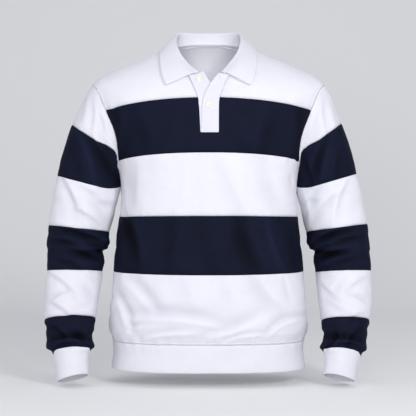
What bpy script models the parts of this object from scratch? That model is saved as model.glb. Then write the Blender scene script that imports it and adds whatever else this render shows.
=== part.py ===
"""Long-sleeve polo shirt cut in broad bands, in the hollow form it has when worn, with nobody in it.

Sizes are millimetres in this file and metres in the model. +X is the wearer's left, -Y the front and +Z up.
The origin is in the middle of the neck, level with the places where the collar's edge crosses the shoulders.
The body and both sleeves are first worked out as one skin of quads. Each band is then cut from that skin and
given the cloth's thickness inwards, so bands meet edge to edge with a narrow gap at every seam.
"""

import math
from collections import defaultdict, namedtuple

import bmesh
import bpy
import numpy as np

MM = 0.001
CLOTH = 2.0  # thickness of the heavy jersey
SEAM_GAP = 0.42  # clear space between two panels at a seam
FRONT, BACK = -1, 1
RIGHT, LEFT = -1, 1  # the wearer's right is at -X

WHITE = ("white_jersey", (0.880, 0.885, 0.950), 0.9)
NAVY = ("navy_jersey", (0.013, 0.015, 0.030), 0.9)
RIB = ("white_rib", (0.880, 0.885, 0.950), 0.9)
TWILL = ("white_twill", (0.900, 0.905, 0.950), 0.85)
SHELL = ("cream_button", (0.860, 0.820, 0.700), 0.35)


def table(columns, *rows):
    """A short table: one named tuple for each row."""
    row_type = namedtuple("row", columns)
    return [row_type(*row) for row in rows]


def read(rows, key, at, column):
    """The named column at a place between rows, on a smooth curve that never overshoots them."""
    xs = np.array([getattr(row, key) for row in rows], float)
    ys = np.array([getattr(row, column) for row in rows], float)
    if xs[0] > xs[-1]:
        xs, ys = xs[::-1], ys[::-1]
    if at <= xs[0] or at >= xs[-1]:
        return float(ys[0] if at <= xs[0] else ys[-1])
    steps = np.diff(ys) / np.diff(xs)
    both = steps[1:] * steps[:-1]
    middle = np.where(both > 0, 2 * both / (steps[1:] + steps[:-1] + (both <= 0)), 0)
    slopes = np.concatenate(([steps[0]], middle, [steps[-1]]))
    i = int(np.searchsorted(xs, at)) - 1
    width = xs[i + 1] - xs[i]
    t = (at - xs[i]) / width
    return float(
        ys[i] * (1 + 2 * t) * (1 - t) ** 2
        + ys[i + 1] * t * t * (3 - 2 * t)
        + width * (slopes[i] * t * (1 - t) ** 2 - slopes[i + 1] * t * t * (1 - t))
    )


def mix(a, b, share):
    return a + (b - a) * share


# ---------------------------------------------------------------- body: sizes

UNDERARM = -284.0  # height of the foot of the armhole
CHEST_EDGE = -142.0  # height where the yoke's lower seam meets the armhole
SHOULDER_TIP = 268.0  # from the centre to the end of the shoulder seam
NECK_HALF = 88.0  # from the centre to the inner end of the shoulder seam
HEM, RIB_TOP = -725.0, -659.0
PLACKET_FOOT = -194.5

# The body's half width, its depth in front of and behind the side seams, and how square its ring is.
BODY = table(
    "z half front back square",
    (HEM, 217, 113, 105, 2.4),
    (-692, 218, 115, 107, 2.4),
    (RIB_TOP, 220, 118, 110, 2.4),
    (-650, 227, 125, 117, 2.4),
    (-632, 230, 130, 122, 2.4),
    (-600, 229, 131, 123, 2.4),
    (-550, 224, 131, 121, 2.4),
    (-506, 220, 131, 119, 2.4),
    (-440, 214, 131, 116, 2.4),
    (-378, 206, 131, 115, 2.5),
    (-335, 202, 131, 116, 2.6),
    (UNDERARM, 206, 131, 119, 2.8),
    (-243, 206, 132, 121, 3.0),
    (-195, 206, 132, 122, 3.3),
    (-118, 206, 127, 119, 3.3),
)

# Seams across the body: their height at the centre of the front, of the back, and at the side or armhole.
SEAMS = table(
    "name front back side",
    ("hem", HEM, HEM, HEM),
    ("rib", RIB_TOP, RIB_TOP, RIB_TOP),
    ("bottom", -506.5, -506, -503),
    ("low", -378, -378, -381),
    ("underarm", -285, -285, UNDERARM),
    ("chest", -242.6, -243, -259),
    ("yoke", -118.5, -118, CHEST_EDGE),
)

SEAM_CURVE = 2.4  # power by which a seam leaves its height at the centre for its height at the side

# The armhole's distance from the centre, along the front and along the back.
ARMHOLE = table(
    "z front back",
    (UNDERARM, 206, 206),
    (-245, 204, 212),
    (-205, 207, 220),
    (-170, 218, 229),
    (-130, 236, 243),
    (-104, 251, 255),
    (-80, SHOULDER_TIP, SHOULDER_TIP),
)
ARMHOLE_DEPTH = {FRONT: 76.0, BACK: 82.0}  # how far the armhole reaches forward and back

# The top line of the shoulder, which runs on to a point over the open neck.
RIDGE = table(
    "x z y",
    (0, 52, 12),
    (NECK_HALF, 12, 12),
    (123, -4, 12),
    (156, -17.5, 12),
    (191, -31.5, 11),
    (222, -45.5, 10),
    (250, -60, 9),
    (SHOULDER_TIP, -79, 8),
)
FRONT_TURNS = (0, 25, 48, 68, 84)  # degrees up the yoke's front, ending at the shoulder seam
BACK_TURNS = (0, 25, 48, 70, 90)  # degrees up the yoke's back, ending on the top line
# Powers of the yoke's round section from front to top: 2 is an ellipse, and less is flatter.
CHEST_ROUND, TIP_ROUND, BACK_ROUND = 1.5, 2.0, 1.9

# The edge of the neck slit and then of the neck opening, up the front.
NECKLINE = table(
    "z right left",
    (PLACKET_FOOT, 18.0, 20.5),
    (-118, 22.0, 21.0),
    (-96, 27.0, 25.0),
    (-85, 32.0, 30.0),
    (-75, 38.0, 37.0),
    (-62, 48.0, 48.0),
    (-42, 68.0, 68.0),
    (-18, 82.0, 82.0),
    (11, NECK_HALF, NECK_HALF),
)
SIDE_SHARES = (0, 0.18, 0.35, 0.51, 0.66, 0.79, 0.90, 0.975, 1)  # columns from the centre part to the side
BACK_NECK_TOP = 23.0  # height of the neck seam at the centre of the back


# ---------------------------------------------------------------- body: form


def ring_edge(face, z):
    """The end of a body ring at the side seam, or above the underarm at the armhole: x, y, z."""
    if z <= UNDERARM:
        return read(BODY, "z", z, "half"), 0.0, z
    fall = (CHEST_EDGE - z) / (CHEST_EDGE - UNDERARM)
    reach = ARMHOLE_DEPTH[face] * max(0.0, 1 - fall**2.2) ** 0.5
    return read(ARMHOLE, "z", z, "front" if face == FRONT else "back"), face * reach, z


def body_point(face, level, share):
    """A point of the body below the yoke. level counts seams up from the hem; share runs -1 to 1 across."""
    low = min(int(level), len(SEAMS) - 2)
    part = level - low
    column = "front" if face == FRONT else "back"
    middle = mix(getattr(SEAMS[low], column), getattr(SEAMS[low + 1], column), part)
    side = mix(SEAMS[low].side, SEAMS[low + 1].side, part)
    x, y, z = ring_edge(face, side)
    square = read(BODY, "z", middle, "square")
    deep = face * read(BODY, "z", middle, column)
    cut_off = (1 - (y / deep) ** square) ** (1 / square)  # 1 for a whole ring, less where the armhole ends it
    bulge = (1 - abs(share * cut_off) ** square) ** (1 / square)
    return np.array([x * share, deep * bulge, mix(middle, z, abs(share) ** SEAM_CURVE)])


def yoke_point(face, turn, share):
    """A point of the yoke. turn is 0 at its lower seam and 90 degrees on top of the shoulder."""
    base = body_point(face, len(SEAMS) - 1, share)
    tip_round = TIP_ROUND if face == FRONT else BACK_ROUND
    section = mix(CHEST_ROUND, TIP_ROUND, share * share) if face == FRONT else BACK_ROUND
    rise = math.sin(math.radians(turn)) ** (2 / section)
    depth = math.cos(math.radians(turn)) ** (2 / section)
    tip_rise = math.sin(math.radians(turn)) ** (2 / tip_round)
    tip_z = mix(CHEST_EDGE, RIDGE[-1].z, tip_rise)
    reach = read(ARMHOLE, "z", tip_z, "front" if face == FRONT else "back")
    x = reach * share
    top_z = read(RIDGE, "x", abs(x), "z")
    top_y = read(RIDGE, "x", abs(x), "y")
    return np.array([x, mix(top_y, base[1], depth), mix(base[2], top_z, rise)])


def neck_share(side, turn):
    """Where the row of the front yoke at that turn meets the slit or the neck opening."""
    low, high = 0.02, 0.6
    for _ in range(40):
        share = (low + high) / 2
        x, _, z = yoke_point(FRONT, turn, share)
        if x < read(NECKLINE, "z", z, "right" if side == RIGHT else "left"):
            low = share
        else:
            high = share
    return share


def slit_share(side, level):
    """Where a row of the front meets the slit's edge, or the columns that run on below it."""
    near = 0.09  # a share close to the slit
    x, _, z = body_point(FRONT, level, near)
    return read(NECKLINE, "z", z, "right" if side == RIGHT else "left") * near / x


def front_rows(levels):
    """Rows of the front below the yoke, from the wearer's right side to the left."""
    rows = []
    for level in levels:
        row = []
        for side in (RIGHT, LEFT):
            inner = slit_share(side, level)
            half = [body_point(FRONT, level, side * mix(inner, 1, s)) for s in SIDE_SHARES]
            row += half[::-1] if side == RIGHT else half
        rows.append(row)
    return np.array(rows)


def front_yoke_rows(side):
    """Rows of one half of the front yoke, from the armhole to the neck."""
    rows = []
    for turn in FRONT_TURNS:
        inner = neck_share(side, turn) if turn else slit_share(side, len(SEAMS) - 1)
        if turn == FRONT_TURNS[-1]:
            inner = NECK_HALF / SHOULDER_TIP
        rows.append([yoke_point(FRONT, turn, side * mix(inner, 1, s)) for s in SIDE_SHARES[::-1]])
    return np.array(rows)


BACK_INNER = 0.30  # share of the half width where the back's neck columns end
BACK_MIDDLE = (-1, -0.62, -0.22, 0.22, 0.62, 1)  # columns between those, as shares of it


def back_inner(turn):
    """The neck column of the back yoke moves out to the shoulder seam's inner end."""
    return mix(BACK_INNER, NECK_HALF / SHOULDER_TIP, (turn / 90) ** 2)


def back_shares(inner):
    sides = [mix(inner, 1, s) for s in SIDE_SHARES]
    return [-s for s in sides[::-1]] + [inner * s for s in BACK_MIDDLE[1:-1]] + sides


def back_rows(levels):
    return np.array([[body_point(BACK, level, s) for s in back_shares(BACK_INNER)] for level in levels])


def back_neck_turn(share, inner):
    """Turn of the neck seam at a column of the back: lower in the middle, where the top line runs highest."""
    corner = yoke_point(BACK, BACK_TURNS[3], inner)[2]
    low, high = 30.0, 90.0
    for _ in range(40):
        turn = (low + high) / 2
        if yoke_point(BACK, turn, share * inner)[2] < mix(BACK_NECK_TOP, corner, share * share):
            low = turn
        else:
            high = turn
    return turn


def back_yoke_rows():
    """The back yoke: rows up to the neck, then rows of the two shoulder parts up to the shoulder seam."""
    rows = []
    for turn in BACK_TURNS[:4]:
        inner = back_inner(turn)
        row = []
        for share in back_shares(inner):
            at = turn
            if abs(share) < inner - 1e-6:
                at = turn * back_neck_turn(share / inner, inner) / BACK_TURNS[3]
            row.append(yoke_point(BACK, at, share))
        rows.append(row)
    shoulders = {}
    for side in (RIGHT, LEFT):
        part = [rows[-1][: len(SIDE_SHARES)] if side == RIGHT else rows[-1][-len(SIDE_SHARES) :]]
        outward = SIDE_SHARES if side == LEFT else SIDE_SHARES[::-1]
        part.append([yoke_point(BACK, 90, side * mix(back_inner(90), 1, s)) for s in outward])
        seam = [side * mix(NECK_HALF / SHOULDER_TIP, 1, s) for s in outward]
        part.append([yoke_point(FRONT, FRONT_TURNS[-1], share) for share in seam])
        shoulders[side] = np.array(part)
    return np.array(rows), shoulders


# ---------------------------------------------------------------- sleeves

# Rings of the sleeve by their outermost and innermost points, the depth at the middle, half the ring's own
# depth and how far its front lies above its middle, where the forearm leans forward.
RING_COLUMNS = "name outer_x outer_z inner_x inner_z y depth rise"
SLEEVE = {
    RIGHT: table(
        RING_COLUMNS,
        ("cap_seam", 312.5, -168, 200, -232, 3, 73, 0),
        ("upper_arm", 335, -227, 209.5, -309, 3, 70, 0),
        ("navy_seam", 348, -286, 210, -318, 3, 67, 0),
        ("biceps", 361, -343, 212, -362, 3, 65, 1),
        ("white_seam", 368, -400, 228, -417, 3, 62, 3),
        ("elbow_top", 373, -436, 229, -443, 3, 60, 4),
        ("elbow_fold", 370, -462, 241, -464, 1, 59, 5),
        ("elbow_seam", 372, -505, 242, -506, -4, 58, 6),
        ("forearm", 374, -562, 250, -562, -20, 56, 12),
        ("low_seam", 370, -617, 255, -611, -37, 55, 16),
        ("fullest", 366, -652, 260, -645, -49, 54, 17),
        ("gather", 357, -682, 262, -674, -59, 48, 16),
        ("cuff_seam", 346, -692, 266, -683, -63, 38, 13),
        ("cuff_middle", 341, -719, 266, -707, -72, 34, 10),
        ("cuff_end", 337, -748, 267, -733, -81, 32, 9),
    ),
    LEFT: table(
        RING_COLUMNS,
        ("cap_seam", 306, -164, 200, -230, 3, 73, 0),
        ("upper_arm", 328, -226, 209, -308, 3, 70, 0),
        ("navy_seam", 342, -280, 208, -316, 3, 67, 0),
        ("biceps", 357, -343, 210, -360, 3, 65, 1),
        ("white_seam", 366, -396, 226, -417, 3, 62, 3),
        ("elbow_top", 371, -436, 228, -443, 3, 60, 4),
        ("elbow_fold", 372, -462, 243, -464, 1, 59, 5),
        ("elbow_seam", 374, -505, 244, -509, -4, 58, 6),
        ("forearm", 374, -562, 251, -563, -20, 56, 12),
        ("low_seam", 366, -617, 254, -617, -37, 55, 16),
        ("fullest", 360, -652, 258, -650, -49, 54, 17),
        ("gather", 346, -685, 258, -676, -59, 48, 16),
        ("cuff_seam", 336, -695, 259, -685, -63, 38, 13),
        ("cuff_middle", 331, -720, 258, -708, -72, 34, 10),
        ("cuff_end", 327, -747, 256, -733, -81, 32, 9),
    ),
}
# Each sleeve piece from its first ring to its last, and the rows cut between.
SLEEVE_PIECES = table(
    "piece first last cuts finish",
    ("1_white", None, "cap_seam", 3, WHITE),
    ("2_navy", "cap_seam", "navy_seam", 3, NAVY),
    ("3_white", "navy_seam", "white_seam", 3, WHITE),
    ("4_navy", "white_seam", "elbow_seam", 3, NAVY),
    ("5_white", "elbow_seam", "low_seam", 3, WHITE),
    ("6_navy", "low_seam", "cuff_seam", 4, NAVY),
)
UNDERARM_STRIP = 20.0  # how far the first sleeve seam runs below the foot of the armhole


def sleeve_ring(side, place, angles):
    """The sleeve's ring at a place counted in rings from the cap seam. Angle 0 is on top, 90 in front."""
    rings = SLEEVE[side]
    numbered = [row._replace(name=i) for i, row in enumerate(rings)]
    at = {column: read(numbered, "name", place, column) for column in RING_COLUMNS.split()[1:]}
    outer = np.array([at["outer_x"], at["y"], at["outer_z"]])
    inner = np.array([at["inner_x"], at["y"], at["inner_z"]])
    forward = np.array([0, -at["depth"], at["rise"]])
    across = (outer - inner) / 2
    points = [
        (outer + inner) / 2 + across * math.cos(a) + forward * math.sin(a) for a in np.radians(angles)
    ]
    return np.array(points) * (side, 1, 1)


def arc_angles(loop, foot):
    """Angles of the armhole's points: 0 at the shoulder, 180 at its foot, by length along the seam."""
    steps = np.linalg.norm(np.diff(np.vstack([loop, loop[:1]]), axis=0), axis=1)
    along = np.concatenate(([0], np.cumsum(steps)))
    down = along[: foot + 1] / along[foot] * 180
    up = 180 + (along[foot + 1 : -1] - along[foot]) / (along[-1] - along[foot]) * 180
    return np.concatenate([down, up])


def sleeve_rows(side, loop, foot, piece):
    """Rows of one sleeve piece from top to bottom, closed by repeating the first column."""
    angles = arc_angles(loop, foot)
    names = [row.name for row in SLEEVE[side]]
    under = np.clip((np.abs(180 - angles) - 90) / -90, 0, 1)
    under = (under * under * (3 - 2 * under))[:, None]
    strip = loop + (side * 1.5, 0, -UNDERARM_STRIP)

    def ring(place):
        plain = sleeve_ring(side, place, angles)
        if place >= 1:
            return plain
        return mix(plain, mix(strip, sleeve_ring(side, 1, angles), place), under)

    rows = []
    for cut in range(piece.cuts + 1):
        share = cut / piece.cuts
        if piece.first is None:
            bulge = 4 * math.sin(math.pi * share) * (1 - under)
            rows.append(mix(loop, ring(0), share) + bulge * np.array([side, 0, 0.3]))
        else:
            rows.append(ring(mix(names.index(piece.first), names.index(piece.last), share)))
    return np.array([np.vstack([row, row[:1]]) for row in rows])


# ---------------------------------------------------------------- the skin and the panels cut from it


class Skin:
    """Quads welded by position, each named for its panel."""

    def __init__(self):
        self.points, self.ids, self.panels = [], {}, defaultdict(list)

    def corner(self, point):
        key = tuple(np.round(point, 3))
        if key not in self.ids:
            self.ids[key] = len(self.points)
            self.points.append(np.array(point, float))
        return self.ids[key]

    def add(self, panel, grid, flip=False, skip=None):
        """Add a grid of rows and columns, seen from outside with rows going up and columns to the right."""
        for r in range(len(grid) - 1):
            for c in range(len(grid[0]) - 1):
                if skip and skip(r, c):
                    continue
                ring = [grid[r][c], grid[r][c + 1], grid[r + 1][c + 1], grid[r + 1][c]]
                quad = [self.corner(p) for p in (ring[::-1] if flip else ring)]
                self.panels[panel].append(quad)

    def normals(self, panels):
        """Each point's outward normal over the panels of one group."""
        total = defaultdict(lambda: np.zeros(3))
        for panel in panels:
            for quad in self.panels[panel]:
                a, b, c, d = (self.points[i] for i in quad)
                for i in quad:
                    total[i] += np.cross(c - a, d - b)
        return {i: n / np.linalg.norm(n) for i, n in total.items()}


def edge_owners(quads):
    counts = defaultdict(list)
    for quad in quads:
        for i, j in zip(quad, quad[1:] + quad[:1]):
            counts[frozenset((i, j))].append(quad)
    return counts


def inset_moves(skin, quads, distance):
    """How each point on a panel's outline moves inwards along the cloth."""
    pulls = defaultdict(list)
    for edge, owners in edge_owners(quads).items():
        if len(owners) == 1:
            i, j = edge
            along = skin.points[j] - skin.points[i]
            along /= np.linalg.norm(along)
            inward = np.mean([skin.points[k] for k in owners[0]], axis=0) - skin.points[i]
            inward -= along * (inward @ along)
            inward /= np.linalg.norm(inward)
            pulls[i].append(inward)
            pulls[j].append(inward)
    moves = {}
    for i, dirs in pulls.items():
        wanted = np.full(len(dirs), distance)
        moves[i] = np.linalg.lstsq(np.array(dirs), wanted, rcond=0.05)[0]
    return moves


def finish_of(spec):
    """The Principled material for a finish, made once."""
    name, colour, rough = spec
    made = bpy.data.materials.get(name)
    if made is None:
        made = bpy.data.materials.new(name)
        made.use_nodes = True
        shader = made.node_tree.nodes["Principled BSDF"]
        shader.inputs["Base Color"].default_value = (*colour, 1)
        shader.inputs["Roughness"].default_value = rough
        shader.inputs["Metallic"].default_value = 0
        made.diffuse_color = (*colour, 1)
    return made


def new_object(name, bm, spec):
    """An object from a bmesh in millimetres, with its own material."""
    bmesh.ops.scale(bm, vec=(MM, MM, MM), verts=bm.verts)
    mesh = bpy.data.meshes.new(name)
    bm.to_mesh(mesh)
    bm.free()
    mesh.shade_smooth()
    mesh.set_sharp_from_angle(angle=math.radians(50))
    mesh.materials.append(finish_of((f"{name}_{spec[0]}", *spec[1:])))
    made = bpy.data.objects.new(name, mesh)
    bpy.context.scene.collection.objects.link(made)
    return made


def wall(name, quads, outer, inner, spec):
    """A closed wall between two copies of the same quads."""
    bm = bmesh.new()
    used = sorted({i for quad in quads for i in quad})
    out = {i: bm.verts.new(outer[i]) for i in used}
    into = {i: bm.verts.new(inner[i]) for i in used}
    owners = edge_owners(quads)
    for quad in quads:
        bm.faces.new([out[i] for i in quad])
        bm.faces.new([into[i] for i in quad[::-1]])
        for i, j in zip(quad, quad[1:] + quad[:1]):
            if len(owners[frozenset((i, j))]) == 1:
                bm.faces.new([out[j], out[i], into[i], into[j]])
    return new_object(name, bm, spec)


DEEP_FOLD = -0.3  # cosine between two groups' normals beyond which their cloth lies almost face to face


def inner_moves(points, own, other, thickness):
    """From the outer point to the inner one, mitred where two groups meet, but not in the underarm fold."""
    moves = {}
    for i in points:
        normal = own[i]
        moves[i] = -thickness * normal
        if i in other:
            bend = float(normal @ other[i])
            if bend > DEEP_FOLD:
                moves[i] = -thickness * (normal + other[i]) / (1 + bend)
    return moves


def cut_panels(skin, groups, finishes):
    """Make each panel of the skin a wall of its own."""
    normals = {name: skin.normals(panels) for name, panels in groups.items()}
    for name, panels in groups.items():
        other = {}
        for rival, found in normals.items():
            if rival != name:
                other.update(found)
        for panel in panels:
            quads = skin.panels[panel]
            used = {i for quad in quads for i in quad}
            inset = inset_moves(skin, quads, SEAM_GAP / 2)
            inward = inner_moves(used, normals[name], other, CLOTH)
            outer, inner = {}, {}
            for i in used:
                outer[i] = skin.points[i] + inset.get(i, 0)
                if i in other and normals[name][i] @ other[i] <= DEEP_FOLD:
                    outer[i] = outer[i] - normals[name][i] * SEAM_GAP / 2
                inner[i] = outer[i] + inward[i]
            wall(panel, quads, outer, inner, finishes[panel])


# ---------------------------------------------------------------- the largest folds

# Soft troughs across the worn cloth, seen from in front: where each starts and ends, half its width and its
# depth. A negative depth is a ridge. They run on across the seams.
FOLD_COLUMNS = "x1 z1 x2 z2 width depth"
FOLDS = {
    FRONT: table(
        FOLD_COLUMNS,
        (-150, -262, -172, -372, 32, 6.5),
        (-186, -384, -156, -482, 22, 4.5),
        (-178, -516, -112, -584, 19, 4.5),
        (-208, -545, -172, -630, 18, 4.0),
        (1, -628, 116, -590, 19, 3.5),
        (100, -514, 158, -588, 19, 4.0),
        (70, -386, 110, -496, 24, 4.0),
        (130, -384, 166, -498, 18, -4.0),
        (120, -262, 165, -368, 22, 3.5),
        (-272, -206, -236, -300, 15, 5.0),
        (-330, -408, -236, -446, 14, 5.0),
        (-312, -456, -238, -486, 14, 4.5),
        (-330, -300, -298, -392, 15, 3.5),
        (272, -206, 244, -300, 15, 4.5),
        (238, -440, 322, -410, 14, 5.0),
        (242, -480, 314, -456, 14, 4.5),
        (330, -318, 292, -388, 15, 3.5),
    ),
    BACK: table(
        FOLD_COLUMNS,
        (140, -255, 176, -368, 30, 6.0),
        (182, -392, 150, -490, 22, 4.5),
        (-150, -268, -178, -360, 26, 5.0),
        (-76, -398, -112, -492, 24, 4.0),
        (-172, -512, -104, -590, 20, 4.5),
        (176, -530, 118, -596, 19, 4.5),
        (-60, -600, 62, -616, 19, 3.5),
        (-272, -212, -244, -300, 15, 4.0),
        (-326, -420, -240, -452, 14, 4.5),
        (-330, -470, -256, -492, 14, 4.0),
        (270, -216, 240, -300, 15, 4.5),
        (240, -448, 330, -424, 14, 4.5),
        (252, -494, 330, -472, 14, 4.0),
    ),
}


def press_folds(skin, groups):
    """Move the skin's points in at the troughs and out at the ridges, but not on the armhole seams."""
    normals = [skin.normals(panels) for panels in groups.values()]
    for found in normals:
        for i, normal in found.items():
            if sum(i in other for other in normals) > 1:
                continue
            face = FRONT if normal[1] < 0 else BACK
            place = skin.points[i][[0, 2]]
            depth = 0.0
            for fold in FOLDS[face]:
                start = np.array([fold.x1, fold.z1])
                run = np.array([fold.x2, fold.z2]) - start
                along = (place - start) @ run / (run @ run)
                off = np.linalg.norm(place - start - run * min(1.0, max(0.0, along)))
                fade = math.sin(math.pi * min(1.0, max(0.0, 0.15 + 0.7 * along)))
                depth += fold.depth * fade * math.exp(-((off / fold.width) ** 2))
            skin.points[i] = skin.points[i] - normal * depth * abs(normal[1])


# ---------------------------------------------------------------- body and sleeves


HEM_LEVELS = (0, 1)


def side_word(side):
    return "r" if side == RIGHT else "l"


def build_body(skin):
    """Front and back bands, with the slit cut down the yoke and into the chest band."""
    finishes = {}
    bands = table(
        "name first last levels finish",
        ("bottom_white", "rib", "bottom", (1, 1.06, 1.17, 1.38, 1.7, 2), WHITE),
        ("low_navy", "bottom", "low", (2, 2.33, 2.67, 3), NAVY),
        ("mid_white", "low", "chest", (3, 3.5, 4, 4.12, 4.5, 5), WHITE),
        ("chest_navy", "chest", "yoke", (5, 5.387, 5.7, 6), NAVY),
    )
    middle = len(SIDE_SHARES) - 1
    skin.add("hem_rib", front_rows(HEM_LEVELS))
    skin.add("hem_rib", back_rows(HEM_LEVELS), flip=True)
    finishes["hem_rib"] = RIB
    for band in bands:
        notch = (lambda r, c: c == middle and r > 0) if band.name == "chest_navy" else None
        skin.add("front_" + band.name, front_rows(band.levels), skip=notch)
        skin.add("back_" + band.name, back_rows(band.levels), flip=True)
        finishes["front_" + band.name] = finishes["back_" + band.name] = band.finish
    for side in (RIGHT, LEFT):
        panel = "front_yoke_" + side_word(side)
        skin.add(panel, front_yoke_rows(side), flip=side == LEFT)
        finishes[panel] = WHITE
    rows, shoulders = back_yoke_rows()
    skin.add("back_yoke_white", rows, flip=True)
    for part in shoulders.values():
        skin.add("back_yoke_white", part, flip=True)
    finishes["back_yoke_white"] = WHITE
    return finishes


def armhole_loop(side):
    """The armhole's points from the shoulder tip down the front to the underarm and up the back."""
    front = [yoke_point(FRONT, turn, side) for turn in FRONT_TURNS[::-1]]
    front += [body_point(FRONT, level, side) for level in (5.7, 5.387, 5, 4.5, 4.12, 4)]
    back = [body_point(BACK, level, side) for level in (4.12, 4.5, 5, 5.387, 5.7)]
    back += [yoke_point(BACK, turn, side) for turn in BACK_TURNS]
    return np.array(front + back), len(front) - 1


def build_sleeves(skin):
    finishes = {}
    for side in (RIGHT, LEFT):
        loop, foot = armhole_loop(side)
        word = "sleeve_" + side_word(side) + "_"
        for piece in SLEEVE_PIECES:
            skin.add(word + piece.piece, sleeve_rows(side, loop, foot, piece), flip=side == RIGHT)
            finishes[word + piece.piece] = piece.finish
        cuff = SLEEVE_PIECES[-1]._replace(first="cuff_seam", last="cuff_end", cuts=1)
        skin.add("cuff_" + side_word(side), sleeve_rows(side, loop, foot, cuff), flip=side == RIGHT)
        finishes["cuff_" + side_word(side)] = RIB
    return finishes


# ---------------------------------------------------------------- places on the front


def slit_edge(side, z):
    """Distance from the centre to the slit's edge at a height, as the front panels' straight edges run."""
    chest = front_rows((5, 5.387, 5.7))
    middle = len(SIDE_SHARES)
    edge = [row[middle - 1 if side == RIGHT else middle] for row in chest]
    edge += [row[-1] for row in front_yoke_rows(side)]
    return float(np.interp(z, [point[2] for point in edge], [abs(point[0]) for point in edge]))


def front_point(height, share):
    """A point of the front by one running height: seams up to the yoke, then quarter turns of the yoke."""
    yoke = len(SEAMS) - 1
    if height <= yoke:
        return body_point(FRONT, height, share)
    return yoke_point(FRONT, 90 * (height - yoke), share)


def front_at(x, z):
    """The front's point at a place seen from in front."""
    low, high = 3.0, 6.95
    for _ in range(40):
        height = (low + high) / 2
        point = front_point(height, x / front_point(height, 1.0)[0])
        if point[2] < z:
            low = height
        else:
            high = height
    return point


def front_normal(x, z):
    near = 2.0
    across = front_at(x + near, z) - front_at(x - near, z)
    up = front_at(x, z + near) - front_at(x, z - near)
    normal = np.cross(across, up)
    return normal / np.linalg.norm(normal)


def grid_wall(name, outer, thickness, spec, flip=False):
    """A closed wall behind a grid of outer points."""
    skin = Skin()
    skin.add(name, outer, flip=flip)
    normals = skin.normals([name])
    quads = skin.panels[name]
    inner = {i: skin.points[i] - thickness * normals[i] for i in normals}
    return wall(name, quads, {i: skin.points[i] for i in normals}, inner, spec)


# ---------------------------------------------------------------- placket

# Inner edge of the lower layer, from the foot to the neck, as the open neck draws it to the wearer's right.
UNDER_EDGE = table(
    "z inner",
    (PLACKET_FOOT, 19.9),
    (-118, 20.4),
    (-104, 17.0),
    (-88, 6.5),
    (-75, -1.5),
    (-64, -8.0),
)
UNDER_ROWS = (-194.0, -170.0, -145.0, -118.5, -102.0, -86.0, -70.0, -66.5)
UNDER_CORNERS = ((-20.0, -61.0), (-10.6, -57.0))  # x, z of its top edge, which rises towards the open neck
# The upper layer's free edge, how far its sewn edge laps the panels, and how far the free edge rolls forward.
UPPER_EDGE = table(
    "z free lap roll",
    (PLACKET_FOOT, -15.9, 2.0, 0.0),
    (-157, -15.3, 2.0, 0.0),
    (-138, -14.4, 2.0, 0.4),
    (-121, -11.2, 2.0, 1.6),
    (-104, -4.6, 1.8, 3.6),
    (-87, 6.1, 1.5, 5.4),
    (-75, 14.8, 1.5, 6.2),
    (-64.5, 25.5, 1.5, 6.5),
)
UPPER_ROWS = (-194.5, -176.0, -157.0, -138.0, -121.0, -104.0, -87.0, -75.0, -66.5)
LAYER = CLOTH + SEAM_GAP  # from one layer's outer face to the next one's


def upper_offset(x, z):
    """How far the upper layer's outer face stands off the front."""
    free, lap, roll = (read(UPPER_EDGE, "z", z, column) for column in ("free", "lap", "roll"))
    sewn = slit_edge(LEFT, z) + lap
    near = min(1.0, max(0.0, (sewn - x) / (sewn - free)))
    return LAYER + roll * near**2


def build_placket():
    under = []
    for z in UNDER_ROWS:
        outer = SEAM_GAP - slit_edge(RIGHT, z)
        inner = read(UNDER_EDGE, "z", z, "inner")
        under.append([front_at(mix(outer, inner, s), z) for s in (0, 0.33, 0.67, 1)])
    under[-1][-2:] = [front_at(*corner) for corner in UNDER_CORNERS]
    grid_wall("placket_under", np.array(under), CLOTH, TWILL)
    upper = []
    for z in UPPER_ROWS:
        free, sewn = read(UPPER_EDGE, "z", z, "free"), slit_edge(LEFT, z) + read(UPPER_EDGE, "z", z, "lap")
        row = []
        for s in (0, 0.2, 0.45, 0.72, 1):
            x = mix(free, sewn, s)
            row.append(front_at(x, z) + front_normal(x, z) * upper_offset(x, z))
        upper.append(row)
    grid_wall("placket_upper", np.array(upper), CLOTH, TWILL)


# ---------------------------------------------------------------- collar

# Half of the collar, from the centre of the back to its front end: the seam to the neck, the fold and the
# free edge. sag is how far the leaf's middle hangs below the straight line from fold to edge.
COLLAR = table(
    "seam_x seam_y seam_z fold_x fold_y fold_z edge_x edge_y edge_z sag",
    (0, 74, 24.6, 0, 79, 52, 0, 96, -7, 0),
    (35, 70, 23.2, 34, 75, 52, 43, 94, -7, 0),
    (60, 57, 18.6, 60, 62, 52, 78, 81, -5, 0),
    (75, 38, 14.4, 75, 39, 47, 100, 46, 3.5, 0),
    (87, 4, 13.9, 76, 5, 29, 112.5, 2, 3.2, 0),
    (80, -44, -11.0, 69.5, -46, -1.5, 109, -66, -30, 0),
    (64.5, -76.5, -37.0, 50, -77, -33.5, 104, -97, -61, 0),
    (45, -97, -58.0, 31, -93, -53, 98, -112, -80, 3),
    (27, -106, -62.5, 23, -100, -58, 93, -118, -90, 6),
)
COLLAR_CLOTH = 2.0
FOLD_HALF = 2.3  # half the thickness of the rolled fold
FOLD_TOP, FOLD_DROP = 0.8, 1.6  # its top above the fold line, and its two sides below
LEAF_CROWN = 3.0  # how far the leaf stands off the straight line from fold to edge
LEFT_SET_BACK = 8.0  # the wearer's left end stops this much further from the slit
LEAF_CLEAR = 3.2  # the leaf's middle line keeps this distance to the yoke's outer face
LEAF_FREE = -12.0  # behind this the leaf stands free of the front
STATIONS = 13  # sections of each half


def clear_of_yoke(point):
    """A point of the left leaf, moved out where it would come too near the front yoke."""
    x, y, z = point
    if y > LEAF_FREE or x < read(NECKLINE, "z", z, "left") - 3 * LAYER:
        return point
    normal = front_normal(x, z)
    return point + normal * max(0.0, LEAF_CLEAR - (point - front_at(x, z)) @ normal)


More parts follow.
